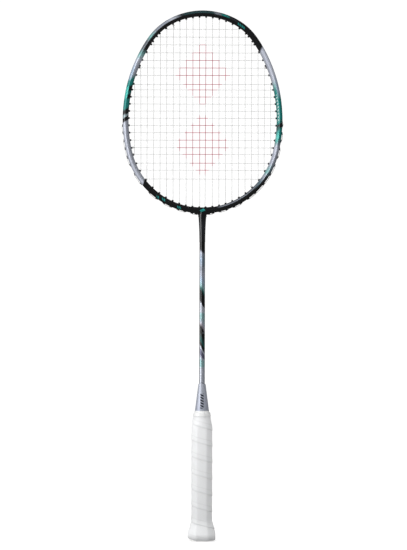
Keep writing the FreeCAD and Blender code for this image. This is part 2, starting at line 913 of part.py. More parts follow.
def flare_share(height):
    """The share of the flare's growth at a height above the butt's end face.

    The flare swells as an S curve, then its bottom edge turns in as a quarter ellipse.
    """
    fall = (size("flare_top") - height) / (size("flare_top") - size("flare_bottom"))
    if fall < 1:
        return fall**2 * (3 - 2 * fall)
    turned = max(0.0, 1 - height / size("butt_round"))
    return 1 - size("butt_turn_in") * (1 - math.sqrt(1 - turned**2))


def flared_loft(name, bottom, extra):
    """The butt's flare, lofted through octagons down to a height above the end face."""
    top = size("flare_top")
    swell = (top - size("flare_bottom")) / SWELL_STEPS
    levels = [top - swell * step for step in range(SWELL_STEPS + 1)]
    levels += [size("butt_round") * share for share in EDGE_SHARES]
    levels = [level for level in levels if level > bottom] + [bottom]
    sections = []
    for number, level in enumerate(levels, start=1):
        growth = f"dims.flare_growth * {flare_share(level):.4f} + {extra}"
        sections.append(octagon_sketch(f"{name}_{number}", f"{level}", growth))
    loft = doc.addObject("Part::Loft", name)
    loft.Sections = sections
    loft.Solid = True
    loft.Ruled = False
    return loft


core_bar = octagon_bar("core_bar", "0", "dims.core_bottom", "dims.cone_base")
spigot = cylinder(
    "core_spigot", "dims.spigot_diameter", "dims.cone_base - dims.overrun", "dims.spigot_top"
)
shaft_socket = cylinder(
    "shaft_socket",
    "dims.shaft_diameter + dims.drill_clearance",
    "dims.shaft_bottom - dims.drill_clearance",
    "dims.spigot_top",
)
core_hollow = cylinder(
    "core_hollow", "dims.core_hollow", "dims.core_bottom", "dims.core_hollow_top"
)
core_blank = fuse("core_blank", [core_bar, spigot])
handle_core = cut("handle_core", core_blank, [shaft_socket, core_hollow])

cone_outer = cone(
    "cone_outer",
    "dims.cone_base_diameter",
    "dims.cone_top_diameter",
    "dims.cone_base",
    "dims.cone_top",
)
cone_slope = "(dims.cone_base_diameter - dims.cone_top_diameter) / (dims.cone_top - dims.cone_base)"
cone_space = cone(
    "cone_space",
    "dims.cone_base_diameter - 2 * dims.cone_wall",
    "dims.cone_top_diameter - 2 * dims.cone_wall"
    f" + (dims.cone_top - dims.cone_space_top) * {cone_slope}",
    "dims.cone_base",
    "dims.cone_space_top",
)
cone_bore = cylinder(
    "cone_bore",
    "dims.shaft_diameter + dims.drill_clearance",
    "dims.cone_space_top",
    "dims.cone_top",
)
cone_cap = cut("cone_cap", cone_outer, [cone_space, cone_bore])

cap_outer = flared_loft("cap_outer", 0, "2 * dims.cap_wall")
badge_recess = cylinder("badge_recess", "dims.badge_diameter", "0", "dims.badge_thickness")
butt_cap = cut("butt_cap", cap_outer, [core_bar, badge_recess])
badge = cylinder(
    "butt_badge", "dims.badge_diameter - dims.badge_clearance", "0", "dims.badge_thickness"
)

tape_extra = "2 * dims.tape_thickness"
tape_flare = flared_loft("tape_flare", size("tape_bottom"), tape_extra)
tape_bar = octagon_bar("tape_bar", tape_extra, "dims.flare_top", "dims.cone_base")
tape_taper = cone(
    "tape_taper",
    f"dims.core_width + {tape_extra}",
    "dims.tape_top_diameter",
    "dims.cone_base",
    "dims.tape_top",
)
tape_blank = fuse("tape_blank", [tape_flare, tape_bar, tape_taper])
grip_tape = cut("grip_tape", tape_blank, [core_bar, cap_outer, cone_outer])

band_blank = cone(
    "band_blank",
    "dims.tape_top_diameter + 2 * dims.band_thickness"
    " + (dims.core_width + 2 * dims.tape_thickness - dims.tape_top_diameter)"
    " * (dims.tape_top - dims.band_bottom) / (dims.tape_top - dims.cone_base)",
    "dims.tape_top_diameter + 2 * dims.band_thickness - dims.band_taper",
    "dims.band_bottom",
    "dims.band_top",
)
grip_band = cut("grip_band", band_blank, [tape_blank, cone_outer])
doc.recompute()

# ---------------------------------------------------------------- sub-parts to files
SUB_PARTS = {
    "head_frame": head_frame,
    "t_joint": t_joint,
    "throat_fairing": throat_fairing,
    "shaft": shaft,
    "crown_grommets": crown_grommets,
    "left_grommets": left_grommets,
    "right_grommets": right_grommets,
    "throat_grommets": throat_grommets,
    "shared_grommets": shared_grommets,
    "main_string": main_string,
    "cross_string": cross_string,
    "string_knots": string_knots,
    "cone_cap": cone_cap,
    "handle_core": handle_core,
    "butt_cap": butt_cap,
    "butt_badge": badge,
    "grip_tape": grip_tape,
    "grip_band": grip_band,
}

for part in doc.Objects:
    faults = [state for state in part.State if state in ("Invalid", "Error")]
    if faults:
        raise RuntimeError(f"{part.Name} is {faults}")

os.makedirs("parts", exist_ok=True)
for node, part in SUB_PARTS.items():
    part.Label = node
    shape = part.Shape
    if shape.isNull() or not shape.isValid() or not shape.Solids:
        raise RuntimeError(f"{node} has no valid solid")
    shape.exportStep(f"parts/{node}.step")
    box = shape.BoundBox
    print(f"{node}: {len(shape.Solids)} solids, {shape.Volume:.0f} mm3, "
          f"z {box.ZMin:.1f} to {box.ZMax:.1f}, {box.XLength:.1f} x {box.YLength:.1f}")
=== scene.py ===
import math
from types import SimpleNamespace

import bpy
from mathutils import Matrix, Vector


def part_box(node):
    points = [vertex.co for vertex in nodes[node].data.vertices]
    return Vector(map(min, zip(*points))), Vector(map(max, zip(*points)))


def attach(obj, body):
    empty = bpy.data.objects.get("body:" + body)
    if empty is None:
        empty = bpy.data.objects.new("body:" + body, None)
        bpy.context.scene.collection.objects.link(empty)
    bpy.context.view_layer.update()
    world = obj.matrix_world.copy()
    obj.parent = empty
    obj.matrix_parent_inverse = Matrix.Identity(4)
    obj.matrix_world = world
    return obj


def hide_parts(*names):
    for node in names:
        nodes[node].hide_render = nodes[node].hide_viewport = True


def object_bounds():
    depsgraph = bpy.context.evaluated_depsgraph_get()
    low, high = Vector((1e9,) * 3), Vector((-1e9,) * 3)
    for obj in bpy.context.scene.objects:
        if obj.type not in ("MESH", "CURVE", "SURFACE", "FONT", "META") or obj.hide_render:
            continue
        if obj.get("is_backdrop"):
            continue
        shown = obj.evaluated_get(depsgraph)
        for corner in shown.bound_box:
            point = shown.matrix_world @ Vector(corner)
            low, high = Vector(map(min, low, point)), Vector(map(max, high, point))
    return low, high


# The looks of a badminton racket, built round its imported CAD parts. The lengths and colours
# of its design are in millimetres and 0-255 sRGB, and meshes are in metres.

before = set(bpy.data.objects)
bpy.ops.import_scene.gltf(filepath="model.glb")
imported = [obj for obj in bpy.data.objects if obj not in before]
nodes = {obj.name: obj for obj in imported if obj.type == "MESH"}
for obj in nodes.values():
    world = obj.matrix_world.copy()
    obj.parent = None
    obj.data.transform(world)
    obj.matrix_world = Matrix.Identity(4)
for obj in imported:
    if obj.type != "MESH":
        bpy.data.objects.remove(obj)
cad_low, cad_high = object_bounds()
MM = 0.001

# -------------------- colours
BLACK = (13, 15, 18)
SOFT_BLACK = (34, 37, 42)
CARBON_TEAL = (34, 62, 64)
GREY = (112, 118, 126)
GREY_TEAL = (92, 116, 126)
SILVER = (190, 195, 207)
DULL_SILVER = (150, 156, 168)
LAVENDER = (182, 187, 202)
PEARL = (216, 221, 236)
BLUE_SILVER = (170, 190, 212)
PALE_TEAL = (138, 196, 194)
TEAL = (22, 142, 136)
DEEP_TEAL = (14, 92, 88)
MINT = (70, 200, 188)
PALE_STRIPE = (172, 190, 196)
PLUM = (104, 104, 128)
ICE_TEAL = (150, 190, 192)
ROSE_GREY = (160, 152, 162)
CRIMSON = (200, 8, 74)
STRING_WHITE = (246, 246, 245)
INK = (24, 28, 44)
TAPE_WHITE = (226, 227, 228)
TAPE_WORN = (210, 210, 209)
TAPE_FOLD_SHADE = (170, 170, 172)
PLASTIC_WHITE = (236, 236, 234)
PLASTIC_GRIME = (206, 204, 198)
BAND_WHITE = (241, 241, 241)
BAND_GREY = (228, 229, 229)
BADGE_SILVER = (214, 217, 222)
PALE_MINT = (206, 228, 226)
STRING_GROOVE_SHADE = (218, 218, 217)
NYLON_BLACK = (16, 17, 19)
NYLON_GREY = (34, 36, 39)
ALLOY_DARK = (150, 152, 155)
ALLOY_LIGHT = (196, 198, 201)
WOOD_DARK = (196, 160, 112)
WOOD_LIGHT = (222, 194, 150)
WOOD_PORE = (120, 88, 56)
FLOOR_DARK = (186, 186, 186)
FLOOR_LIGHT = (192, 192, 192)


def linear(colour):
    """An sRGB colour of 0-255 as the linear RGBA that a socket takes."""
    shares = [level / 255 for level in colour]
    return [s / 12.92 if s <= 0.04045 else ((s + 0.055) / 1.055) ** 2.4 for s in shares] + [1.0]


# -------------------- materials
class Wire:
    """A node's output, on which arithmetic makes Math nodes."""

    def __init__(self, surface, socket):
        self.surface = surface
        self.socket = socket

    def __add__(self, other):
        return self.surface.math("ADD", self, other)

    def __sub__(self, other):
        return self.surface.math("SUBTRACT", self, other)

    def __rsub__(self, other):
        return self.surface.math("SUBTRACT", other, self)

    def __mul__(self, other):
        return self.surface.math("MULTIPLY", self, other)

    def __truediv__(self, other):
        return self.surface.math("DIVIDE", self, other)


class Surface:
    """One procedural material, its object coordinates given in millimetres."""

    def __init__(self, name, roughness, metallic=0.0, coat=0.0, coat_roughness=0.05):
        self.material = bpy.data.materials.new(name)
        self.material.use_nodes = True
        self.tree = self.material.node_tree
        self.shader = self.tree.nodes["Principled BSDF"]
        self.shader.inputs["Roughness"].default_value = roughness
        self.shader.inputs["Metallic"].default_value = metallic
        self.shader.inputs["Coat Weight"].default_value = coat
        self.shader.inputs["Coat Roughness"].default_value = coat_roughness
        self.place = Wire(self, self.node("ShaderNodeTexCoord").outputs["Object"])
        split = self.node("ShaderNodeSeparateXYZ", Vector=self.place)
        self.x, self.y, self.z = [Wire(self, socket) / MM for socket in split.outputs]

    def node(self, kind, settings=None, **inputs):
        """A new node, its sockets fed with wires or numbers."""
        node = self.tree.nodes.new(kind)
        for key, value in (settings or {}).items():
            setattr(node, key, value)
        for key, value in inputs.items():
            self.feed(node.inputs[key.replace("_", " ")], value)
        return node

    def feed(self, socket, value):
        """Links a wire to a socket, or sets a number on it."""
        if isinstance(value, Wire):
            self.tree.links.new(value.socket, socket)
        else:
            socket.default_value = value

    def math(self, operation, *values):
        """The result of a Math node."""
        node = self.node("ShaderNodeMath", {"operation": operation})
        for socket, value in zip(node.inputs, values):
            self.feed(socket, value)
        return Wire(self, node.outputs[0])

    def step(self, value, low, high):
        """0 below low and 1 above high, smooth between them."""
        node = self.node("ShaderNodeMapRange", {"interpolation_type": "SMOOTHSTEP"})
        for socket, given in zip(node.inputs, (value, low, high)):
            self.feed(socket, given)
        return Wire(self, node.outputs["Result"])

    def band(self, value, low, high, edge):
        """1 between low and high, fading to 0 over edge on either side."""
        return self.step(value, low - edge, low) * (1 - self.step(value, high, high + edge))

    def ramp(self, position, stops, low, high):
        """A colour along a position, from stops of (position, sRGB colour or number)."""
        share = (position - low) / (high - low)
        node = self.node("ShaderNodeValToRGB", Fac=share)
        elements = node.color_ramp.elements
        while len(elements) < len(stops):
            elements.new(1.0)
        for element, (place, value) in zip(elements, sorted(stops, key=lambda s: s[0])):
            element.position = (place - low) / (high - low)
            element.color = linear(value) if isinstance(value, tuple) else [value] * 3 + [1]
        return Wire(self, node.outputs[0])

    def mix(self, share, first, second, blend="MIX"):
        """A share of the second colour in the first, or the two blended some other way."""
        settings = {"data_type": "RGBA", "blend_type": blend}
        node = self.node("ShaderNodeMix", settings)
        colours = [value for value in node.inputs if value.type == "RGBA"]
        self.feed(node.inputs[0], share)
        for socket, value in zip(colours, (first, second)):
            self.feed(socket, linear(value) if isinstance(value, tuple) else value)
        return Wire(self, [out for out in node.outputs if out.type == "RGBA"][0])

    def noise(self, size, detail=2.0, stretch=(1, 1, 1)):
        """Noise from 0 to 1 whose features are about size millimetres across."""
        scaled = self.node("ShaderNodeMapping", Vector=self.place)
        scaled.inputs["Scale"].default_value = [1 / (size * MM * s) for s in stretch]
        node = self.node(
            "ShaderNodeTexNoise", Vector=Wire(self, scaled.outputs[0]), Scale=1.0, Detail=detail
        )
        return Wire(self, node.outputs["Fac"])

    def cells(self, size, feature="F1"):
        """Distances across cells of about size millimetres."""
        node = self.node(
            "ShaderNodeTexVoronoi", {"feature": feature}, Vector=self.place, Scale=1 / (size * MM)
        )
        return Wire(self, node.outputs["Distance"])

    def finish(self, colour, roughness, height, depth):
        """Joins the colour, the roughness and a bump that is depth millimetres deep."""
        self.feed(self.shader.inputs["Base Color"], colour)
        self.feed(self.shader.inputs["Roughness"], roughness)
        bump = self.node("ShaderNodeBump", Height=height)
        bump.inputs["Distance"].default_value = depth * MM
        self.feed(self.shader.inputs["Normal"], Wire(self, bump.outputs[0]))
        return self.material


# -------------------- outline of the head
# Each arc's radius and the degrees that it turns, down from the crown.
HEAD_ARCS = [(90.0, 29.0), (77.0, 27.0), (185.0, 47.5)]
FRAME_WIDTH = 7.4
ARC_MEETING = 0.001


def outline_arcs():
    """The outer outline's right half: (centre x and z, radius, first and last angle)."""
    arcs = []
    angle = 0.0
    x, z = 0.0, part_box("head_frame")[1].z / MM
    for radius, span in HEAD_ARCS:
        last = angle + math.radians(span)
        centre = (x - radius * math.sin(angle), z - radius * math.cos(angle))
        x = centre[0] + radius * math.sin(last)
        z = centre[1] + radius * math.cos(last)
        arcs.append((centre, radius, angle, last))
        angle = last
    radius = x / math.sin(angle)
    arcs.append(((0.0, z - radius * math.cos(angle)), radius, angle, math.pi))
    return arcs


ARCS = outline_arcs()


def head_point(angle, inset):
    """The point of the right half whose outward normal is at angle from the crown's."""
    for centre, radius, first, last in ARCS:
        if angle <= last:
            break
    reach = radius - inset
    return Vector((centre[0] + reach * math.sin(angle), 0, centre[1] + reach * math.cos(angle)))


def hoop_length(surface):
    """Wires for the length along the hoop from the crown, and the depth from its outside."""
    across = surface.math("ABSOLUTE", surface.x)
    length = depth = surface.z * 0
    start = 0.0
    for centre, radius, first, last in ARCS:
        out = across - centre[0]
        up = surface.z - centre[1]
        angle = surface.math("ARCTAN2", out, up)
        here = surface.math("GREATER_THAN", angle, first - ARC_MEETING)
        reach = surface.math("SQRT", out * out + up * up)
        length = length + here * ((angle - first) * radius + start - length)
        depth = depth + here * (radius - reach - depth)
        start += radius * (last - first)
    return length, depth


# -------------------- paint of the hoop
# Each stop is a length from the crown and its colour, for the left and right half's outer
# and inner facets.
LEFT_OUTER = [
    (0, CARBON_TEAL), (22, CARBON_TEAL), (27, SOFT_BLACK), (31, GREY), (40, SILVER), (50, DULL_SILVER),
    (66, DULL_SILVER), (77, PALE_TEAL), (84, GREY), (95, GREY), (104, PALE_TEAL), (112, PEARL),
    (128, BLUE_SILVER), (136, BLUE_SILVER), (141, TEAL), (147, TEAL), (149, MINT), (160, MINT),
    (166, TEAL), (177.5, TEAL), (178.5, BLACK), (184, BLACK), (184.6, PALE_STRIPE), (188, PALE_STRIPE),
    (188.6, BLACK), (193.4, BLACK), (194.2, PEARL), (278, PEARL), (279, BLACK),
]
LEFT_INNER = [
    (62, BLACK), (70, SOFT_BLACK), (92, BLACK), (97, SOFT_BLACK), (104, PALE_TEAL),
    (113, PEARL), (132, LAVENDER), (139, TEAL), (147.5, TEAL), (148.2, BLACK), (154.5, BLACK),
    (155.2, DEEP_TEAL), (158.8, TEAL), (159.4, BLACK), (165, BLACK), (165.8, TEAL), (177.5, TEAL),
    (178.2, BLACK), (185.5, BLACK), (186, PALE_STRIPE), (188.5, PALE_STRIPE), (189, BLACK),
    (194, BLACK), (194.8, LAVENDER), (278, SILVER), (279, BLACK),
]
RIGHT_OUTER = [
    (0, CARBON_TEAL), (15, CARBON_TEAL), (18, GREY), (24, GREY), (27, DEEP_TEAL), (35, DEEP_TEAL),
    (38, SOFT_BLACK), (46, SOFT_BLACK), (50, BLACK), (95.6, BLACK), (96.8, PEARL), (134, PEARL),
    (148, BLUE_SILVER), (156, BLUE_SILVER), (166, TEAL), (190, TEAL), (196, DEEP_TEAL),
    (198, BLACK), (203, BLACK), (204, TEAL), (216, TEAL), (222, GREY_TEAL), (232, LAVENDER),
    (248, DULL_SILVER), (262, GREY_TEAL), (272, SOFT_BLACK), (290, BLACK),
]
RIGHT_INNER = [
    (95.6, BLACK), (96.8, PEARL), (138, PEARL), (147, PALE_TEAL), (154, TEAL),
    (196, TEAL), (197, BLACK), (200.5, BLACK), (201, TEAL), (203, BLACK), (205, TEAL), (214, MINT),
    (220, TEAL), (226, LAVENDER), (250, LAVENDER), (262, PALE_TEAL), (268, LAVENDER), (280, GREY_TEAL),
    (292, BLACK),
]
HOOP_HALF = 367.0
FACET_EDGE = 3.7
FACET_BLUR = 0.15
STRIPE_SLANT = 0.7
# Each teal mark: whether it is on the right half, its first and last length from the crown,
# and its least and greatest depth from the hoop's outside.
TEAL_MARKS = [
    (True, 27, 36, 1.6, 2.7),
    (True, 49, 60, 3.2, 5.4),
    (False, 303, 306.5, 1.2, 3.4),
    (False, 312, 317, 2.6, 5.0),
    (False, 334, 339, 1.6, 4.0),
]


def flaked(surface, colour):
    """Metallic flake: each cell a little lighter or darker."""
    flake = surface.cells(0.45) * 0.34 + 0.86
    cloud = surface.noise(22, 3.0) * 0.14 + 0.93
    return surface.mix(1.0, colour, surface.math("MULTIPLY", flake, cloud), "MULTIPLY")


def clear_coated(surface, colour, worn):
    """Lacquer over the paint: faint orange peel, fine scuffs and dulled patches."""
    scuff = surface.step(surface.noise(2.4, 6.0, (1, 1, 6)), 0.66, 0.74) * worn
    rubbed = surface.mix(scuff * 0.35, flaked(surface, colour), GREY)
    dulled = surface.noise(9, 4.0) * 0.14 + 0.2
    peel = surface.noise(1.6, 2.0) + surface.cells(0.45) * 0.15
    return surface.finish(rubbed, dulled + scuff * 0.3, peel, 0.012)


def hoop_paint():
    """Slanted bands down each half, plain dashes and marks, a painted highlight strip on the lower
    right, and painted shade at the edges with a painted highlight along the middle, all round.
    """
    surface = Surface("hoop_lacquer", 0.25, 0.2, 1.0, 0.05)
    length, depth = hoop_length(surface)
    slant = (depth - FACET_EDGE) * STRIPE_SLANT
    left = length + slant
    right = length - slant
    inner = surface.step(depth, FACET_EDGE - FACET_BLUR, FACET_EDGE + FACET_BLUR)
    left_colour = surface.mix(
        inner,
        surface.ramp(left, LEFT_OUTER, 0, HOOP_HALF),
        surface.ramp(left, LEFT_INNER, 0, HOOP_HALF),
    )
    right_colour = surface.mix(
        inner,
        surface.ramp(right, RIGHT_OUTER, 0, HOOP_HALF),
        surface.ramp(right, RIGHT_INNER, 0, HOOP_HALF),
    )
    side = surface.step(surface.x, -0.01, 0.01)
    colour = surface.mix(side, left_colour, right_colour)
    for on_right, low, high, shallow, deep in TEAL_MARKS:
        place = right if on_right else left
        dash = surface.math("PINGPONG", place, 1.6)
        mark = surface.band(place, low, high, 0.3) * surface.band(depth, shallow, deep, 0.3)
        mark = mark * surface.step(dash, 0.35, 0.6)
        mark = mark * (side if on_right else 1 - side)
        colour = surface.mix(mark, colour, TEAL)
    light_marks = surface.band(right, 158, 194, 0.5) * surface.band(depth, 4.5, 6.0, 0.25) * side
    light_marks = light_marks * surface.step(surface.math("PINGPONG", right, 2.1), 0.7, 0.95)
    colour = surface.mix(light_marks * 0.85, colour, PALE_MINT)
    # A painted highlight: a thin silver strip along the lower right inner facet, where the light from
    # the left reflects.
    painted_highlight_strip = surface.band(right, 286, 340, 8.0) * surface.band(depth, 5.3, 6.5, 0.4) * side
    colour = surface.mix(painted_highlight_strip * 0.8, colour, DULL_SILVER)
    # Painted highlight and painted shade: the middle of the section lighter, its inner and outer edges
    # darker, all round the hoop.
    middle = surface.band(depth, 2.4, 4.6, 1.7) * 0.42 + 0.7
    colour = surface.mix(1.0, colour, middle, "MULTIPLY")
    crown = 1 - surface.step(length, 30, 120)
    worn = crown * (1 - surface.step(depth, 0.6, 2.6)) + 0.04
    return clear_coated(surface, colour, worn)


THROAT_MARK_HEIGHT = 420.4
THROAT_MARK_LEAN = 0.7


def throat_paint():
    """Black lacquer with a leaning teal lozenge at the middle of each side."""
    surface = Surface("throat_lacquer", 0.25, 0.25, 1.0, 0.05)
    height = surface.z - THROAT_MARK_HEIGHT
    leaning = surface.math("ABSOLUTE", surface.x - height * THROAT_MARK_LEAN)
    above = surface.math("ABSOLUTE", height)
    inside = surface.step(leaning / 3.6 + above / 2.6, 0.95, 1.05)
    tone = surface.ramp(surface.z, [(380, BLACK), (400, SOFT_BLACK), (412, BLACK)], 380, 425)
    return clear_coated(surface, surface.mix(inside, TEAL, tone), 0.1)


SHAFT_LOW, SHAFT_HIGH = 199, 412
SHAFT_STOPS = [
    (219.5, SILVER), (222, ICE_TEAL), (229, ICE_TEAL), (231, LAVENDER), (234, PLUM), (240, PLUM),
    (241.5, LAVENDER), (243.5, SILVER), (244.5, BLACK), (249, BLACK), (252, DEEP_TEAL),
    (257, CARBON_TEAL), (261, BLACK), (270, BLACK), (273, ROSE_GREY), (277, LAVENDER),
    (284, ICE_TEAL), (289, ICE_TEAL), (291, SILVER), (299, SILVER), (301, BLACK), (315, BLACK),
    (319, DEEP_TEAL), (323, ICE_TEAL), (331, BLUE_SILVER), (339, LAVENDER), (347, DULL_SILVER),
    (357, BLUE_SILVER), (366, LAVENDER), (368.5, SOFT_BLACK), (374, BLACK),
]
# How far the borders lean at each height, as a share of the steepest lean.
SHAFT_LEANS = [
    (SHAFT_LOW, 0.0), (228, 0.0), (236, 0.8), (243, 1.0), (272, 1.0), (283, 0.0), (292, 0.0),
    (299, 1.0), (316, 1.0), (326, 0.5), (345, 0.1), (366, 0.45), (SHAFT_HIGH, 0.45),
]
STEEPEST_LEAN = 2.0
# Each small grey mark's lowest height and its left edge across the shaft.
SHAFT_MARKS = [(348.5, 0.6), (263.5, 0.4)]
SHAFT_MARK_TALL, SHAFT_MARK_WIDE = 2, 1.8


def shaft_paint():
    """Bands whose borders lean across the shaft's front and back."""
    surface = Surface("shaft_lacquer", 0.25, 0.6, 1.0, 0.05)
    lean = surface.ramp(surface.z, SHAFT_LEANS, SHAFT_LOW, SHAFT_HIGH)
    place = surface.z + surface.x * lean * STEEPEST_LEAN
    colour = surface.ramp(place, SHAFT_STOPS, SHAFT_LOW, SHAFT_HIGH)
    smoke = surface.band(surface.z, 353, 363, 5.0) * surface.step(surface.x, -0.4, 1.8)
    colour = surface.mix(smoke * 0.75, colour, GREY_TEAL)
    for low, across in SHAFT_MARKS:
        mark = surface.band(surface.z, low, low + SHAFT_MARK_TALL, 0.3)
        mark = mark * surface.band(surface.x, across, across + SHAFT_MARK_WIDE, 0.3)
        colour = surface.mix(mark * 0.7, colour, GREY)
    return clear_coated(surface, colour, 0.06)


CONE_STOPS = [(147, DULL_SILVER), (170, LAVENDER), (199, SILVER)]
BAR_HALF_WIDTH = 2.1
BAR_HALF_PITCH = 1.7
BARS_LOW, BARS_HIGH = 168.5, 187.5


def cone_plastic():
    """Pearl plastic with a plain column of dark bars down its front."""
    surface = Surface("cone_pearl", 0.4, 0.45, 0.3, 0.3)
    tone = surface.ramp(surface.z, CONE_STOPS, 147, 200)
    front = 1 - surface.step(surface.y, -0.2, 0.0)
    column = surface.band(surface.x, -BAR_HALF_WIDTH, BAR_HALF_WIDTH, 0.12) * front
    slanted = surface.math("PINGPONG", surface.z + surface.x * 0.5, BAR_HALF_PITCH)
    bars = surface.step(slanted, 0.62, 0.76)
    printed = column * bars * surface.band(surface.z, BARS_LOW, BARS_HIGH, 0.1)
    colour = flaked(surface, surface.mix(printed, tone, INK))
    swirl = surface.noise(6, 4.0, (1, 1, 3))
    rough = swirl * 0.12 + 0.4
    return surface.finish(colour, rough, surface.noise(0.9, 3.0) + swirl * 0.4, 0.02)


def black_nylon():
    """Moulded nylon, unevenly dull."""
    surface = Surface("grommet_nylon", 0.42)
    tone = surface.mix(surface.noise(1.2, 3.0), NYLON_BLACK, NYLON_GREY)
    rough = surface.noise(0.7, 3.0) * 0.25 + 0.32
    return surface.finish(tone, rough, surface.noise(0.35, 4.0), 0.03)


def joint_alloy():
    """Cast alloy, blasted matt."""
    surface = Surface("blasted_alloy", 0.45, 1.0)
    tone = surface.mix(surface.noise(2.0, 4.0), ALLOY_DARK, ALLOY_LIGHT)
    return surface.finish(tone, surface.noise(0.5, 3.0) * 0.3 + 0.35, surface.noise(0.3, 4.0), 0.04)


def handle_wood():
    """Pale wood with its grain and pores along the handle."""
    surface = Surface("handle_wood", 0.6)
    wander = surface.noise(40, 3.0, (1, 1, 6)) * 9
    rings = surface.math("PINGPONG", surface.x * 0.6 + surface.y + wander, 1.6) / 1.6
    pores = surface.step(surface.noise(0.5, 3.0, (1, 1, 14)), 0.6, 0.7)
    tone = surface.mix(rings, WOOD_DARK, WOOD_LIGHT)
    tone = surface.mix(pores * 0.5, tone, WOOD_PORE)
    return surface.finish(tone, surface.noise(3, 3.0) * 0.2 + 0.5, rings * 0.4 - pores, 0.05)


def white_plastic():
    """White moulded plastic, a little grimy."""
    surface = Surface("cap_plastic", 0.38)
    grime = surface.step(surface.noise(7, 5.0), 0.5, 0.85)
    tone = surface.mix(grime * 0.3, PLASTIC_WHITE, PLASTIC_GRIME)
    rough = surface.noise(1.1, 4.0) * 0.2 + 0.3
    return surface.finish(tone, rough, surface.noise(0.45, 4.0), 0.03)


def badge_vinyl():
    """Plain silvery vinyl with two turned rings."""
    surface = Surface("badge_vinyl", 0.3, 0.2, 0.3, 0.1)
    out = surface.math("SQRT", surface.x * surface.x + surface.y * surface.y)
    rings = surface.band(out, 5.9, 6.5, 0.1) + surface.band(out, 7.4, 7.7, 0.08)
    tone = surface.mix(rings * 0.8, BADGE_SILVER, TEAL)
    turned = surface.math("PINGPONG", out, 0.12)
    rough = surface.noise(1.0, 3.0) * 0.2 + 0.25
    return surface.finish(tone, rough, turned + rings * -0.3, 0.03)


TUBE_UV = "along_tube"
BRAID_STRANDS, BRAID_PITCH = 6, 0.55
STENCIL_HEIGHTS = (594.0, 504.0)
STENCIL_HALF_WIDTH = 36.0
STENCIL_HALF_HEIGHT = 42.0


def string_nylon():
    """Pale braided nylon, with painted shade in the braid's grooves and two plain lozenges inked on
    the face.
    """
    surface = Surface("string_nylon", 0.35, 0.0, 0.25, 0.15)
    around = surface.node("ShaderNodeUVMap", {"uv_map": TUBE_UV})
    split = surface.node("ShaderNodeSeparateXYZ", Vector=Wire(surface, around.outputs[0]))
    turn, along = [Wire(surface, socket) for socket in split.outputs[:2]]
    right_hand = surface.math("PINGPONG", turn * BRAID_STRANDS + along / BRAID_PITCH, 1.0)
    left_hand = surface.math("PINGPONG", turn * BRAID_STRANDS - along / BRAID_PITCH, 1.0)
    braid = surface.math("MAXIMUM", right_hand, left_hand)
    ink = surface.x * 0
    for middle in STENCIL_HEIGHTS:
        across = surface.math("ABSOLUTE", surface.x) / STENCIL_HALF_WIDTH
        above = surface.math("ABSOLUTE", surface.z - middle) / STENCIL_HALF_HEIGHT
        ink = ink + (1 - surface.step(across + above, 0.985, 1.015))
    patchy = surface.noise(1.4, 4.0) * 0.2 + 0.88
    # Painted shade: greyer in the braid's grooves, where its bump is low.
    tone = surface.mix(braid, STRING_GROOVE_SHADE, STRING_WHITE)
    tone = surface.mix(ink * patchy, tone, CRIMSON)
    rough = surface.noise(0.8, 2.0) * 0.15 + 0.3
    return surface.finish(tone, rough, braid, 0.035)


# The attribute of how deep in a fold each point is, which sets its painted shade.
FOLD_SHADE = "fold"
# The tape's tone up the grip from the butt: darker towards the bottom, the steep darkening below 9 mm
# being painted shade on the butt's down-facing rim.
TAPE_TONE_AND_RIM_SHADE = [
    (0, (146, 147, 149)), (4.5, (190, 191, 192)), (9, (224, 225, 226)), (18, (220, 221, 222)),
    (30, (208, 209, 210)), (60, (215, 216, 217)), (110, TAPE_WHITE), (155, (238, 239, 240)),
]


def grip_tape():
    """Soft white wrap: pebbled, a little creased, darker towards the bottom with painted shade at the
    butt's rim, and painted shade in its dimples and folds.
    """
    surface = Surface("grip_wrap", 0.55)
    surface.shader.inputs["Sheen Weight"].default_value = 0.15
    pebbles = surface.cells(0.75, "SMOOTH_F1")
    creases = surface.noise(5.5, 5.0, (1, 1, 0.45))
    worn = surface.step(surface.noise(16, 4.0), 0.45, 0.8)
    folds = surface.tree.nodes.new("ShaderNodeAttribute")
    folds.attribute_name = FOLD_SHADE
    fold = Wire(surface, folds.outputs["Fac"])
    # Painted shade at the butt's rim, and a tone darker towards the bottom.
    tone = surface.ramp(surface.z, TAPE_TONE_AND_RIM_SHADE, 0, 165)
    tone = surface.mix(worn * 0.3, tone, TAPE_WORN)
    # Painted shade: greyer in the pebbles' dimples and in the tape's folds, edges and seam.
    tone = surface.mix((1 - pebbles) * 0.08 + fold * 0.3, tone, TAPE_FOLD_SHADE)
    pleats = surface.noise(2.6, 3.0, (1, 1, 4)) * surface.step(surface.z, 146, 156)
    rough = worn * 0.12 + pebbles * 0.1 + 0.46
    return surface.finish(tone, rough, pebbles * 0.6 + creases * 0.9 + pleats * 2.2, 0.16)


def band_vinyl():
    """Thin glossy white vinyl, lightly creased."""
    surface = Surface("band_vinyl", 0.3, 0.0, 0.3, 0.1)
    creases = surface.noise(3.0, 4.0, (1, 1, 0.35))
    tone = surface.mix(creases, BAND_WHITE, BAND_GREY)
    return surface.finish(tone, creases * 0.2 + 0.22, creases + surface.noise(0.5, 3.0) * 0.2, 0.08)


nylon = black_nylon()
CAD_MATERIALS = {
    "head_frame": hoop_paint(),
    "throat_fairing": throat_paint(),
    "shaft": shaft_paint(),
    "t_joint": joint_alloy(),
    "crown_grommets": nylon,
    "left_grommets": nylon,
    "right_grommets": nylon,
    "throat_grommets": nylon,
    "shared_grommets": nylon,
    "cone_cap": cone_plastic(),
    "handle_core": handle_wood(),
    "butt_cap": white_plastic(),
    "butt_badge": badge_vinyl(),
}
for name, material in CAD_MATERIALS.items():
    for material_slot in nodes[name].material_slots:
        material_slot.material = material


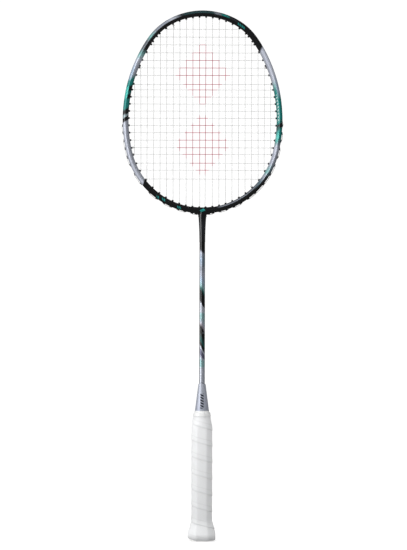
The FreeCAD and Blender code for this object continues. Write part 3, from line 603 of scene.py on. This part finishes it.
# -------------------- string holes
BARREL_PROUD = 1.5
FLANGE_HEIGHT = 0.7
STRING_LIFT = 0.45
MOUTH_GAP = 0.5
KNOT_GAP = 1.2
GROOVE_DEPTH = 1.9
GROOVE_END = math.radians(91.6)
THROAT_HALF_WIDTH = 15.5
THROAT_SKIN = 0.4
THROAT_SEAT = 0.9
THROAT_LEAN = math.radians(27.0)
GROMMET_LEAN = 0.3
SHARE_DISTANCE = 2.8
MAINS_A_SIDE = 11
MAIN_SPACING = 8.46
CROSSES = 21
CROSS_TOP, CROSS_BOTTOM, CROSS_SPREAD = 652.4, 459.7, 0.06
BISECT_ROUNDS = 60


def pull_angle(string):
    """The direction a string pulls from: mains upright, crosses level."""
    if string[0] == "cross":
        return math.pi / 2
    return 0.0 if string[2] == "top" else math.pi


def string_hole(angle, strings):
    """A hole of the right half: the mouth on the inner face, its axis and its seat's height."""
    at_throat = ("main", 0, "bottom") in strings
    pull = sum(pull_angle(string) for string in strings) / len(strings)
    lean = GROMMET_LEAN * (pull - angle)
    if at_throat:
        lean = math.pi - THROAT_LEAN - angle
    seat = FRAME_WIDTH
    if angle < GROOVE_END:
        seat -= GROOVE_DEPTH
    if at_throat:
        seat += THROAT_SEAT
    elif angle > math.pi - math.asin(THROAT_HALF_WIDTH / ARCS[3][1]):
        seat += THROAT_SKIN
    mouth = head_point(angle, FRAME_WIDTH)
    axis = Vector((math.sin(angle + lean), 0, math.cos(angle + lean)))
    top = mouth + axis * ((seat + FLANGE_HEIGHT + STRING_LIFT) / math.cos(lean))
    flange = mouth + axis * (seat / math.cos(lean))
    return SimpleNamespace(
        angle=angle,
        strings=strings,
        mouth=mouth,
        flange=flange,
        seat=seat,
        outer=top,
        inner=mouth - axis * (BARREL_PROUD + MOUTH_GAP),
        knot=mouth - axis * (BARREL_PROUD + KNOT_GAP),
    )


def bisect(measure, low, high):
    """The angle between low and high where a rising measure passes zero."""
    for _ in range(BISECT_ROUNDS):
        middle = (low + high) / 2
        if measure(middle) < 0:
            low = middle
        else:
            high = middle
    return (low + high) / 2


def cross_height(index):
    """A level string's height, the strings a little further apart at the ends."""
    share = index / (CROSSES - 1)
    drop = share + CROSS_SPREAD * math.sin(2 * math.pi * share) / (2 * math.pi)
    return CROSS_TOP - (CROSS_TOP - CROSS_BOTTOM) * drop


def string_holes():
    """The holes of the right half, from the crown to the throat, near ones merged."""
    ends = []
    for index in range(MAINS_A_SIDE):
        x = (index + 0.5) * MAIN_SPACING
        top = bisect(lambda a: head_point(a, FRAME_WIDTH).x - x, 0, math.pi / 2)
        bottom = bisect(lambda a: x - head_point(a, FRAME_WIDTH).x, math.pi / 2, math.pi)
        ends.append((top, ("main", index, "top")))
        ends.append((bottom, ("main", index, "bottom")))
    for index in range(CROSSES):
        z = cross_height(index)
        angle = bisect(lambda a: z - head_point(a, FRAME_WIDTH).z, 0, math.pi)
        ends.append((angle, ("cross", index)))
    holes = []
    for angle, string in sorted(ends):
        hole = string_hole(angle, [string])
        near = math.inf
        if holes:
            inside = (holes[-1].mouth - hole.mouth).length
            near = min(inside, (holes[-1].flange - hole.flange).length)
        if near < SHARE_DISTANCE:
            last = holes.pop()
            hole = string_hole((last.angle + angle) / 2, last.strings + [string])
        holes.append(hole)
    return holes


HOLES = string_holes()
HOLE_OF = {string: hole for hole in HOLES for string in hole.strings}

# -------------------- string routes
RIGHT, LEFT = 1, -1
STRING_RADIUS = 0.34
LAYER = 0.36
WEAVE = 0.35
LOOP_STEP = 5.0
END_REACH = 6.0
CORNER_REACH = 1.8
WEAVE_STEPS = 5
STRAIGHT_TURN = 0.02
SHARP_TURN = math.radians(15)
SHARP_RADIUS, WIDE_RADIUS = 0.9, 100.0
TANGENT_SHARE = 0.45
DEGREES_A_STEP = 14


def ease(share):
    """0 up to a share of 0 and 1 from a share of 1, smooth between them."""
    return (1 - math.cos(math.pi * min(1.0, max(0.0, share)))) / 2


def placed(point, side, layer):
    """A point of the right half moved to its own half and layer."""
    return Vector((side * point.x, layer, point.z))


def loop_points(start, end, side, layer):
    """Points round the outside of the frame between two holes."""
    steps = math.ceil((start.outer - end.outer).length / LOOP_STEP)
    points = []
    for step in range(1, steps):
        share = step / steps
        angle = start.angle + (end.angle - start.angle) * share
        seat = start.seat + (end.seat - start.seat) * share
        inset = FRAME_WIDTH - seat - FLANGE_HEIGHT - STRING_LIFT
        points.append((placed(head_point(angle, inset), side, layer), None))
    return points


def tail(hole, family, step, side, layer):
    """From the knot at the tie-off hole round to the first hole."""
    index = HOLES.index(hole) + step
    while any(string[0] == family for string in HOLES[index].strings):
        index += step
    anchor = HOLES[index]
    points = [(placed(anchor.knot, side, layer), None), (placed(anchor.outer, side, layer), None)]
    return points + loop_points(anchor, hole, side, layer)


def run_points(hole_from, side_from, hole_to, side_to, layer, run):
    """One run across the face, its inner corners marked with the run's name."""
    return [
        (placed(hole_from.outer, side_from, layer), None),
        (placed(hole_from.inner, side_from, layer), run),
        (placed(hole_to.inner, side_to, layer), run),
        (placed(hole_to.outer, side_to, layer), None),
    ]


def main_corners():
    """Up and down from left to right, from the bottom of the left half's innermost main."""
    columns = [(LEFT, index) for index in reversed(range(MAINS_A_SIDE))]
    columns += [(RIGHT, index) for index in range(MAINS_A_SIDE)]
    first = HOLE_OF[("main", MAINS_A_SIDE - 1, "bottom")]
    points = tail(first, "main", -1, LEFT, -LAYER)
    at, leave = "bottom", "top"
    previous = None
    for number, (side, index) in enumerate(columns):
        start = HOLE_OF[("main", index, at)]
        end = HOLE_OF[("main", index, leave)]
        if previous and previous[0] == side:
            points += loop_points(previous[1], start, side, -LAYER)
        points += run_points(start, side, end, side, -LAYER, ("main", number))
        previous = (side, end)
        at, leave = leave, at
    return points + tail(first, "main", -1, RIGHT, -LAYER)[::-1]


def cross_corners():
    """From side to side, down from the crown."""
    points = tail(HOLE_OF[("cross", 0)], "cross", -1, LEFT, LAYER)
    side = LEFT
    for index in range(CROSSES):
        hole = HOLE_OF[("cross", index)]
        points += run_points(hole, side, hole, -side, LAYER, ("cross", index))
        side = -side
        if index + 1 < CROSSES:
            points += loop_points(hole, HOLE_OF[("cross", index + 1)], side, LAYER)
    return points + tail(HOLE_OF[("cross", CROSSES - 1)], "cross", 1, side, LAYER)[::-1]


def run_ends(corners):
    """Each run's two inner corners, by its name."""
    ends = {}
    for point, run in corners:
        if run:
            ends.setdefault(run, []).append(point)
    return ends


def crossings(mains, crosses):
    """Where strings pass over each other, each run's points already pushed to their side.

    They go over and under in turn, and near a hole each keeps to its own side.
    """
    found = {run: [] for run in [*mains, *crosses]}
    for main, (low, high) in mains.items():
        for cross, (left, right) in crosses.items():
            share = (left.z - low.z) / (high.z - low.z)
            if not 0 < share < 1:
                continue
            x = low.x + (high.x - low.x) * share
            from_ends = min(abs(x - left.x), abs(x - right.x))
            if not min(left.x, right.x) < x < max(left.x, right.x):
                continue
            way = 1 if (main[1] + cross[1]) % 2 else -1
            if min(from_ends, abs(left.z - low.z), abs(left.z - high.z)) < END_REACH:
                way = -1
            found[main].append(Vector((x, way * WEAVE, left.z)))
            found[cross].append(Vector((x, -way * WEAVE, left.z)))
    return found


def eased(start, end, steps):
    """Points from start to end, the push through the face eased in and out."""
    points = []
    for step in range(1, steps):
        share = step / steps
        point = start.lerp(end, share)
        point.y = start.y + (end.y - start.y) * ease(share)
        points.append(point)
    return points


def woven(start, end, met):
    """The points between a run's two rounded corners."""
    apart = [p for p in met if min((p - start).length, (p - end).length) > CORNER_REACH]
    line = [start, *sorted(apart, key=lambda p: (p - start).length), end]
    points = []
    for first, second in zip(line, line[1:]):
        points += [*eased(first, second, WEAVE_STEPS), second]
    return points[:-1]


def rounded(before, corner, after):
    """The points of an arc in place of a corner: tight at a hole, wide round the frame."""
    back = (before - corner).normalized()
    ahead = (after - corner).normalized()
    turn = math.pi - back.angle(ahead)
    if turn < STRAIGHT_TURN:
        return [corner]
    wanted = SHARP_RADIUS if turn > SHARP_TURN else WIDE_RADIUS
    shorter = min((before - corner).length, (after - corner).length)
    tangent = min(wanted * math.tan(turn / 2), TANGENT_SHARE * shorter)
    steps = max(2, round(math.degrees(turn) / DEGREES_A_STEP))
    points = []
    for step in range(steps + 1):
        share = step / steps
        first = corner + back * tangent * (1 - share)
        second = corner + ahead * tangent * share
        points.append(first.lerp(second, share))
    return points


def string_path(corners, met):
    """The string's whole centreline."""
    places = [point for point, _ in corners]
    arcs = [[places[0]]]
    arcs += [rounded(*three) for three in zip(places, places[1:], places[2:])]
    arcs.append([places[-1]])
    path = []
    for number, arc in enumerate(arcs):
        path += arc
        run = corners[number][1]
        if run and number + 1 < len(corners) and corners[number + 1][1] == run:
            path += woven(arc[-1], arcs[number + 1][0], met[run])
    return path


# -------------------- meshes
def new_piece(name, points, faces, material):
    """A mesh piece from points in millimetres, riding on the racket's one body."""
    mesh = bpy.data.meshes.new(name)
    mesh.from_pydata([[level * MM for level in point] for point in points], [], faces)
    mesh.validate()
    mesh.polygons.foreach_set("use_smooth", [True] * len(mesh.polygons))
    mesh.materials.append(material)
    piece = bpy.data.objects.new(name, mesh)
    bpy.context.scene.collection.objects.link(piece)
    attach(piece, "root")
    return piece


def ring_faces(rings, size, flip=False):
    """Quads between rings of size points and a cap at each end, facing out or flipped."""
    faces = []
    for ring in range(rings - 1):
        for index in range(size):
            first = ring * size + index
            second = ring * size + (index + 1) % size
            faces.append((first, second, second + size, first + size))
    start = tuple(range(size))
    end = tuple(range((rings - 1) * size, rings * size))
    if flip:
        return [(a, d, c, b) for a, b, c, d in faces] + [start, end[::-1]]
    return faces + [start[::-1], end]


def tube(path, radius, sides):
    """A tube of rings along a path without twist, and the length at each ring."""
    points, lengths = [], []
    along = (path[1] - path[0]).normalized()
    across = along.orthogonal().normalized()
    walked = 0.0
    for number, centre in enumerate(path):
        after = path[min(number + 1, len(path) - 1)]
        before = path[max(number - 1, 0)]
        new_along = (after - before).normalized()
        across = along.rotation_difference(new_along) @ across
        along = new_along
        walked += (centre - before).length
        lengths.append(walked)
        other = along.cross(across)
        for side in range(sides):
            turn = 2 * math.pi * side / sides
            offset = across * math.cos(turn) + other * math.sin(turn)
            points.append(centre + offset * radius)
    return points, ring_faces(len(path), sides), lengths


def tube_piece(name, paths, radius, sides, material):
    """A piece of one or more tubes, with a map of the turn round and the length along."""
    points, faces, turns = [], [], []
    for path in paths:
        start = len(points)
        new_points, new_faces, lengths = tube(path, radius, sides)
        points += new_points
        faces += [tuple(index + start for index in face) for face in new_faces]
        turns += [(index % sides / sides, lengths[index // sides]) for index in range(len(new_points))]
    piece = new_piece(name, points, faces, material)
    layer = piece.data.uv_layers.new(name=TUBE_UV)
    for polygon in piece.data.polygons:
        places = [turns[piece.data.loops[loop].vertex_index] for loop in polygon.loop_indices]
        wraps = max(place[0] for place in places) > 0.5
        for loop, (turn, length) in zip(polygon.loop_indices, places):
            layer.data[loop].uv = (turn + 1 if wraps and turn == 0 else turn, length)
    return piece


# -------------------- strings
STRING_SIDES, KNOT_SIDES = 10, 8
KNOT_STEPS, KNOT_END_STEPS = 64, 8
KNOT_RADIUS, KNOT_SWING, KNOT_RISE = 0.78, 0.3, 0.42

nylon_string = string_nylon()
mains = main_corners()
crosses = cross_corners()
met = crossings(run_ends(mains), run_ends(crosses))
main_path = string_path(mains, met)
cross_path = string_path(crosses, met)
main_string = tube_piece(
    "main_string_woven", [main_path], STRING_RADIUS, STRING_SIDES, nylon_string
)
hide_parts("main_string")
cross_string = tube_piece(
    "cross_string_woven", [cross_path], STRING_RADIUS, STRING_SIDES, nylon_string
)
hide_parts("cross_string")


def knot_path(centre, pull):
    """A small tied knot: two crossed turns round the string, and its trimmed end."""
    along = pull.normalized()
    across = Vector((0, 1, 0))
    other = along.cross(across)
    points = []
    for step in range(KNOT_STEPS):
        turn = 2 * math.pi * step / (KNOT_STEPS - 1)
        out = KNOT_RADIUS + KNOT_SWING * math.cos(3 * turn)
        rise = KNOT_RISE * math.sin(3 * turn)
        round_it = across * math.cos(2 * turn) + other * math.sin(2 * turn)
        points.append(centre + round_it * out + along * rise)
    end = points[-1]
    sideways = (end - centre).normalized()
    for step in range(1, KNOT_END_STEPS + 1):
        points.append(end + sideways * (0.3 * step) - along * (0.05 * step * step))
    return points


knot_ends = [(main_path[0], main_path[1]), (main_path[-1], main_path[-2])]
knot_ends += [(cross_path[0], cross_path[1]), (cross_path[-1], cross_path[-2])]
knots = tube_piece(
    "string_ties",
    [knot_path(Vector((end.x, 0, end.z)), second - end) for end, second in knot_ends],
    STRING_RADIUS,
    KNOT_SIDES,
    nylon_string,
)
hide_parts("string_knots")

# -------------------- grip
CORE_WIDTH, CORE_DEPTH, CORE_FRONT_FLAT = 23.4, 21.6, 11.4
FLARE_TOP, FLARE_BOTTOM, FLARE_GROWTH = 26.0, 8.0, 7.5
BUTT_ROUND, BUTT_TURN_IN = 3.2, 0.5
CAP_WALL, CAP_LIP = 0.6, 3
CONE_BASE, CONE_BASE_RADIUS = 147.0, 11.3
CONE_TOP, CONE_TOP_RADIUS = 199.4, 4.6
CONE_CLEARANCE = 0.1
ROUNDING_BELOW, ROUNDING_LENGTH = 6, 8
TAPE_BOTTOM = 1.2
TAPE_TOP, TAPE_TOP_RADIUS = 163.0, 10.2
TAPE_TOP_THICKNESS = 1.8
TAPE_THICKNESS = 1.45
TAPE_PITCH = 20.8
TAPE_OVERLAP = 5.6
TAPE_FIRST_EDGE = 15.3
TAPE_GAP = 0.03
TAPE_CORNERS = 26
TAPE_TURNS_BELOW, TAPE_TURNS = 1, 8
TURN_STEPS = 112
NARROWEST_STRIP = 1.0
PRESS_LENGTH = 2.5
PRESSED_SHARE, TAPERED_SHARE = 0.3, 0.25
LYING_LENGTH, LYING_SHARE = 3, 0.35
EDGE_SHARE, EDGE_ROLL = 0.35, 1.8
SEAM_RISE = TAPE_OVERLAP + 0.5
SEAM_DEPTH, SEAM_WIDTH = 0.24, 0.6
BOTTOM_ROLL, BOTTOM_ROLL_LENGTH = 0.25, 1.5
# Heights across the tape, closer together at its edges and its seam.
TAPE_RISES = [
    0, 0.25, 0.6, 1.1, 1.8, 2.8, 4.0, 5.0, 5.6, 6.1, 6.7, 7.4, 8.2, 9.5, 11.5, 13.5,
    15.5, 17.5, 19.2, 20.4, 21.0, 22.5, 24.5, 26.0,
]


def flare_growth(z):
    """How much wider the butt's octagon is at a height than the straight handle's."""
    fall = (FLARE_TOP - z) / (FLARE_TOP - FLARE_BOTTOM)
    if fall < 0:
        return 0.0
    if fall < 1:
        return FLARE_GROWTH * fall**2 * (3 - 2 * fall)
    turned = max(0.0, 1 - z / BUTT_ROUND)
    return FLARE_GROWTH * (1 - BUTT_TURN_IN * (1 - math.sqrt(1 - turned**2)))


def octagon_reach(turn, width, depth, front_flat):
    """The distance from the axis to a softly cornered octagon, in one direction."""
    diagonal = (front_flat + depth) / 2 / math.sqrt(2)
    faces = [width / 2, diagonal, depth / 2, diagonal] * 2
    total = 0.0
    for number, distance in enumerate(faces):
        facing = math.cos(turn - number * math.pi / 4)
        if facing > 0:
            total += (facing / distance) ** TAPE_CORNERS
    return total ** (-1 / TAPE_CORNERS)


def under_tape(turn, z):
    """The distance from the axis to what the tape is wound on."""
    growth = flare_growth(z)
    if z < FLARE_TOP:
        growth += 2 * CAP_WALL * min(1, (FLARE_TOP - z) / CAP_LIP)
    front = CORE_FRONT_FLAT + growth * math.tan(math.radians(22.5))
    octagon = octagon_reach(turn, CORE_WIDTH + growth, CORE_DEPTH + growth, front)
    if z <= CONE_BASE - ROUNDING_BELOW:
        return octagon
    narrowing = CONE_BASE_RADIUS - TAPE_TOP_RADIUS + TAPE_TOP_THICKNESS
    slope = narrowing / (TAPE_TOP - CONE_BASE)
    cone = CONE_BASE_RADIUS + CONE_CLEARANCE - slope * max(0, z - CONE_BASE)
    share = min(1, max(0, (z - CONE_BASE + ROUNDING_BELOW) / ROUNDING_LENGTH))
    return octagon * (1 - share) + cone * share


def tape_thickness(rise):
    """The tape's thickness, pressed flat where the next turn lies on its upper edge."""
    pressed = ease((rise - TAPE_PITCH + PRESS_LENGTH) / PRESS_LENGTH)
    tapered = ease((rise - TAPE_PITCH) / TAPE_OVERLAP)
    return TAPE_THICKNESS * (1 - PRESSED_SHARE * pressed - TAPERED_SHARE * tapered)


def tape_levels(rise):
    """The tape's underside and top above what it is wound on, at a height above its edge.

    Its lower edge lies on the turn below, whose own edge shows through it as a shallow line.
    """
    lying = 1 - ease((rise - TAPE_OVERLAP) / LYING_LENGTH)
    below = lying * (tape_thickness(min(rise, TAPE_OVERLAP) + TAPE_PITCH) + TAPE_GAP)
    rolled_edge = EDGE_SHARE + (1 - EDGE_SHARE) * math.sqrt(min(1, rise / EDGE_ROLL))
    own = tape_thickness(rise) * rolled_edge * (1 - LYING_SHARE * lying)
    line = SEAM_DEPTH * math.exp(-(((rise - SEAM_RISE) / SEAM_WIDTH) ** 2))
    return below, below + own - line


def fold_shade_depth(rise):
    """How deep in a fold a height across the tape is, which sets its painted shade: its edge, its seam
    and the turn above.
    """
    edge = max(0, 1 - rise / 0.7)
    seam = 0.7 * max(0, 1 - abs(rise - SEAM_RISE) / 0.8)
    above = 0.8 * max(0, 1 - abs(rise - TAPE_PITCH) / 0.8)
    return min(1.0, edge + seam + above)


def grip_strip():
    """The wound tape as one closed strip, and how deep in a fold each point is, for its painted shade.
    """
    rings, folds = [], []
    for step in range((TAPE_TURNS_BELOW + TAPE_TURNS) * TURN_STEPS + 1):
        turn = 2 * math.pi * (step / TURN_STEPS - TAPE_TURNS_BELOW)
        edge = TAPE_FIRST_EDGE + TAPE_PITCH * turn / (2 * math.pi)
        low = max(0.0, TAPE_BOTTOM - edge)
        high = min(TAPE_RISES[-1], TAPE_TOP - edge)
        if high - low < NARROWEST_STRIP:
            continue
        outer, inner = [], []
        for place in TAPE_RISES:
            rise = low + (high - low) * place / TAPE_RISES[-1]
            z = edge + rise
            reach = under_tape(-turn, z)
            below, top = tape_levels(rise)
            rolled = BOTTOM_ROLL * max(0, 1 - (z - TAPE_BOTTOM) / BOTTOM_ROLL_LENGTH)
            direction = Vector((math.cos(-turn), math.sin(-turn), 0))
            inner.append(direction * (reach + below) + Vector((0, 0, z)))
            outer.append(direction * (reach + top - rolled) + Vector((0, 0, z)))
            folds.append(fold_shade_depth(rise))
        rings.append(outer + inner[::-1])
        folds += [0.5] * len(inner)
    points = [point for ring in rings for point in ring]
    return points, ring_faces(len(rings), 2 * len(TAPE_RISES), flip=True), folds


points, faces, folds = grip_strip()
wrap = new_piece("grip_wrap", points, faces, grip_tape())
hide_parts("grip_tape")
attribute = wrap.data.attributes.new(FOLD_SHADE, "FLOAT", "POINT")
attribute.data.foreach_set("value", folds)

# -------------------- finishing band
BAND_BOTTOM, BAND_TOP = 158.5, 165.6
BAND_START = math.radians(-150)
BAND_TURNS = 1.22
BAND_ROWS = 16
BAND_LAYER = 0.16
BAND_FEATHER, BAND_ROLL = 1.6, 0.25
BAND_EDGE_SHARE = 0.35
LAP_START, LAP_LENGTH, LAP_GAP = 0.97, 0.06, 0.02
TAPE_BASE_RADIUS = 13.5
ABOVE_TAPE, ABOVE_CONE = 0.12, 0.05


def band_base(z):
    """The radius that the band is wound on: the grip tape's taper, then down to the cone."""
    down_tape = (TAPE_TOP - z) / (TAPE_TOP - CONE_BASE)
    up_cone = (z - CONE_BASE) / (CONE_TOP - CONE_BASE)
    tape = TAPE_TOP_RADIUS + (TAPE_BASE_RADIUS - TAPE_TOP_RADIUS) * down_tape + ABOVE_TAPE
    cone = CONE_BASE_RADIUS - (CONE_BASE_RADIUS - CONE_TOP_RADIUS) * up_cone + ABOVE_CONE
    share = ease((z - TAPE_TOP + 0.4) / 1.6)
    return tape * (1 - share) + cone * share


def finishing_band():
    """One strip wound a little more than once, its end lying over its start."""
    height = BAND_TOP - BAND_BOTTOM
    levels = [BAND_BOTTOM + height * row / BAND_ROWS for row in range(BAND_ROWS + 1)]
    count = round(BAND_TURNS * TURN_STEPS)
    rings = []
    for step in range(count + 1):
        wound = step / count * BAND_TURNS
        turn = BAND_START + 2 * math.pi * wound
        past = (wound - LAP_START) / LAP_LENGTH
        lift = (BAND_LAYER + LAP_GAP) * min(1, max(0, past))
        wave = 0.16 * math.sin(3 * turn) + 0.1 * math.sin(7 * turn + 1)
        direction = Vector((math.cos(turn), math.sin(turn), 0))
        outer, inner = [], []
        for level in levels:
            z = level + wave * (level - BAND_BOTTOM) / height
            base = band_base(z) + lift
            rim = min(1, (level - BAND_BOTTOM) / BAND_FEATHER, (BAND_TOP - level) / BAND_ROLL)
            own = BAND_LAYER * (BAND_EDGE_SHARE + (1 - BAND_EDGE_SHARE) * rim)
            inner.append(direction * base + Vector((0, 0, z)))
            outer.append(direction * (base + own) + Vector((0, 0, z)))
        rings.append(outer + inner[::-1])
    points = [point for ring in rings for point in ring]
    return points, ring_faces(len(rings), 2 * len(levels))


points, faces = finishing_band()
band = new_piece("grip_finishing_band", points, faces, band_vinyl())
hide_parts("grip_band")

# -------------------- floor, light and camera
FLOOR_RADIUS, FLOOR_SIDES, FLOOR_GAP = 0.5, 96, 0.0005
FLOOR_GLOW = 0.55
CAMERA_GLOW, GENERAL_GLOW, GLOSSY_GLOW = 1.05, 0.18, 0.1

visual_low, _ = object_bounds()
floor_mesh = bpy.data.meshes.new("floor")
rim = [2 * math.pi * side / FLOOR_SIDES for side in range(FLOOR_SIDES)]
floor_mesh.from_pydata(
    [(FLOOR_RADIUS * math.cos(turn), FLOOR_RADIUS * math.sin(turn), 0) for turn in rim],
    [],
    [tuple(range(FLOOR_SIDES))],
)
floor = bpy.data.objects.new("floor", floor_mesh)
floor.location.z = visual_low.z - FLOOR_GAP
bpy.context.scene.collection.objects.link(floor)
floor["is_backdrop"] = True
floor.visible_glossy = False
floor_paint = Surface("studio_floor", 0.9)
floor_paint.shader.inputs["Emission Color"].default_value = (1, 1, 1, 1)
floor_paint.shader.inputs["Emission Strength"].default_value = FLOOR_GLOW
floor_tone = floor_paint.mix(floor_paint.noise(60, 2.0), FLOOR_DARK, FLOOR_LIGHT)
floor_mesh.materials.append(floor_paint.finish(floor_tone, 0.9, floor_paint.noise(30, 2.0), 0.01))

# The world is white to the camera, and gives other rays a weaker glow.
world = bpy.data.worlds.new("studio")
bpy.context.scene.world = world
world.use_nodes = True
world_nodes, world_links = world.node_tree.nodes, world.node_tree.links
backdrop = world_nodes["Background"]
backdrop.inputs["Color"].default_value = (1, 1, 1, 1)
light_path = world_nodes.new("ShaderNodeLightPath")
strength = world_nodes.new("ShaderNodeMapRange")
strength.inputs["To Max"].default_value = CAMERA_GLOW
reflected = world_nodes.new("ShaderNodeMapRange")
reflected.inputs["To Min"].default_value = GENERAL_GLOW
reflected.inputs["To Max"].default_value = GLOSSY_GLOW
world_links.new(light_path.outputs["Is Glossy Ray"], reflected.inputs["Value"])
world_links.new(light_path.outputs["Is Camera Ray"], strength.inputs["Value"])
world_links.new(reflected.outputs["Result"], strength.inputs["To Min"])
world_links.new(strength.outputs["Result"], backdrop.inputs["Strength"])


def sun(name, travel, strength, spread):
    """A soft lamp far away, its light travelling in one direction."""
    lamp = bpy.data.lights.new(name, "SUN")
    lamp.energy = strength
    lamp.angle = math.radians(spread)
    holder = bpy.data.objects.new(name, lamp)
    holder.rotation_mode = "QUATERNION"
    holder.rotation_quaternion = Vector(travel).to_track_quat("-Z", "Y")
    bpy.context.scene.collection.objects.link(holder)
    return holder


sun("top_light", (0.1, 0.1, -1), 2.9, 80).visible_glossy = False
sun("key_light", (0.82, 0.55, -0.2), 1.4, 46)
sun("fill_light", (-0.3, 0.95, -0.1), 0.24, 60).visible_glossy = False

# The view is a little taller than the racket and looks at the middle of its length.
CAMERA_DISTANCE = 3.2
CAMERA_RIGHT = 0.0016
CAMERA_ROLL = 0.13
VIEW_SHARE = 1.0377
AIM_SHARE = 0.5011
racket_length = cad_high.z - cad_low.z
camera_data = bpy.data.cameras.new("camera")
camera_data.sensor_width = 36
camera_data.lens = camera_data.sensor_width * CAMERA_DISTANCE / (VIEW_SHARE * racket_length)
camera = bpy.data.objects.new("camera", camera_data)
middle = Vector((CAMERA_RIGHT, 0, cad_low.z + AIM_SHARE * racket_length))
camera.rotation_mode = "QUATERNION"
aim = Vector((0, 1, 0)).to_track_quat("-Z", "Y").to_matrix()
roll = Matrix.Rotation(math.radians(CAMERA_ROLL), 3, "Z")
camera.rotation_quaternion = (aim @ roll).to_quaternion()
camera.location = middle - Vector((0, CAMERA_DISTANCE, 0))
bpy.context.scene.collection.objects.link(camera)
bpy.context.scene.camera = camera
bpy.context.scene.view_settings.view_transform = "Standard"

visual_low, visual_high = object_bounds()
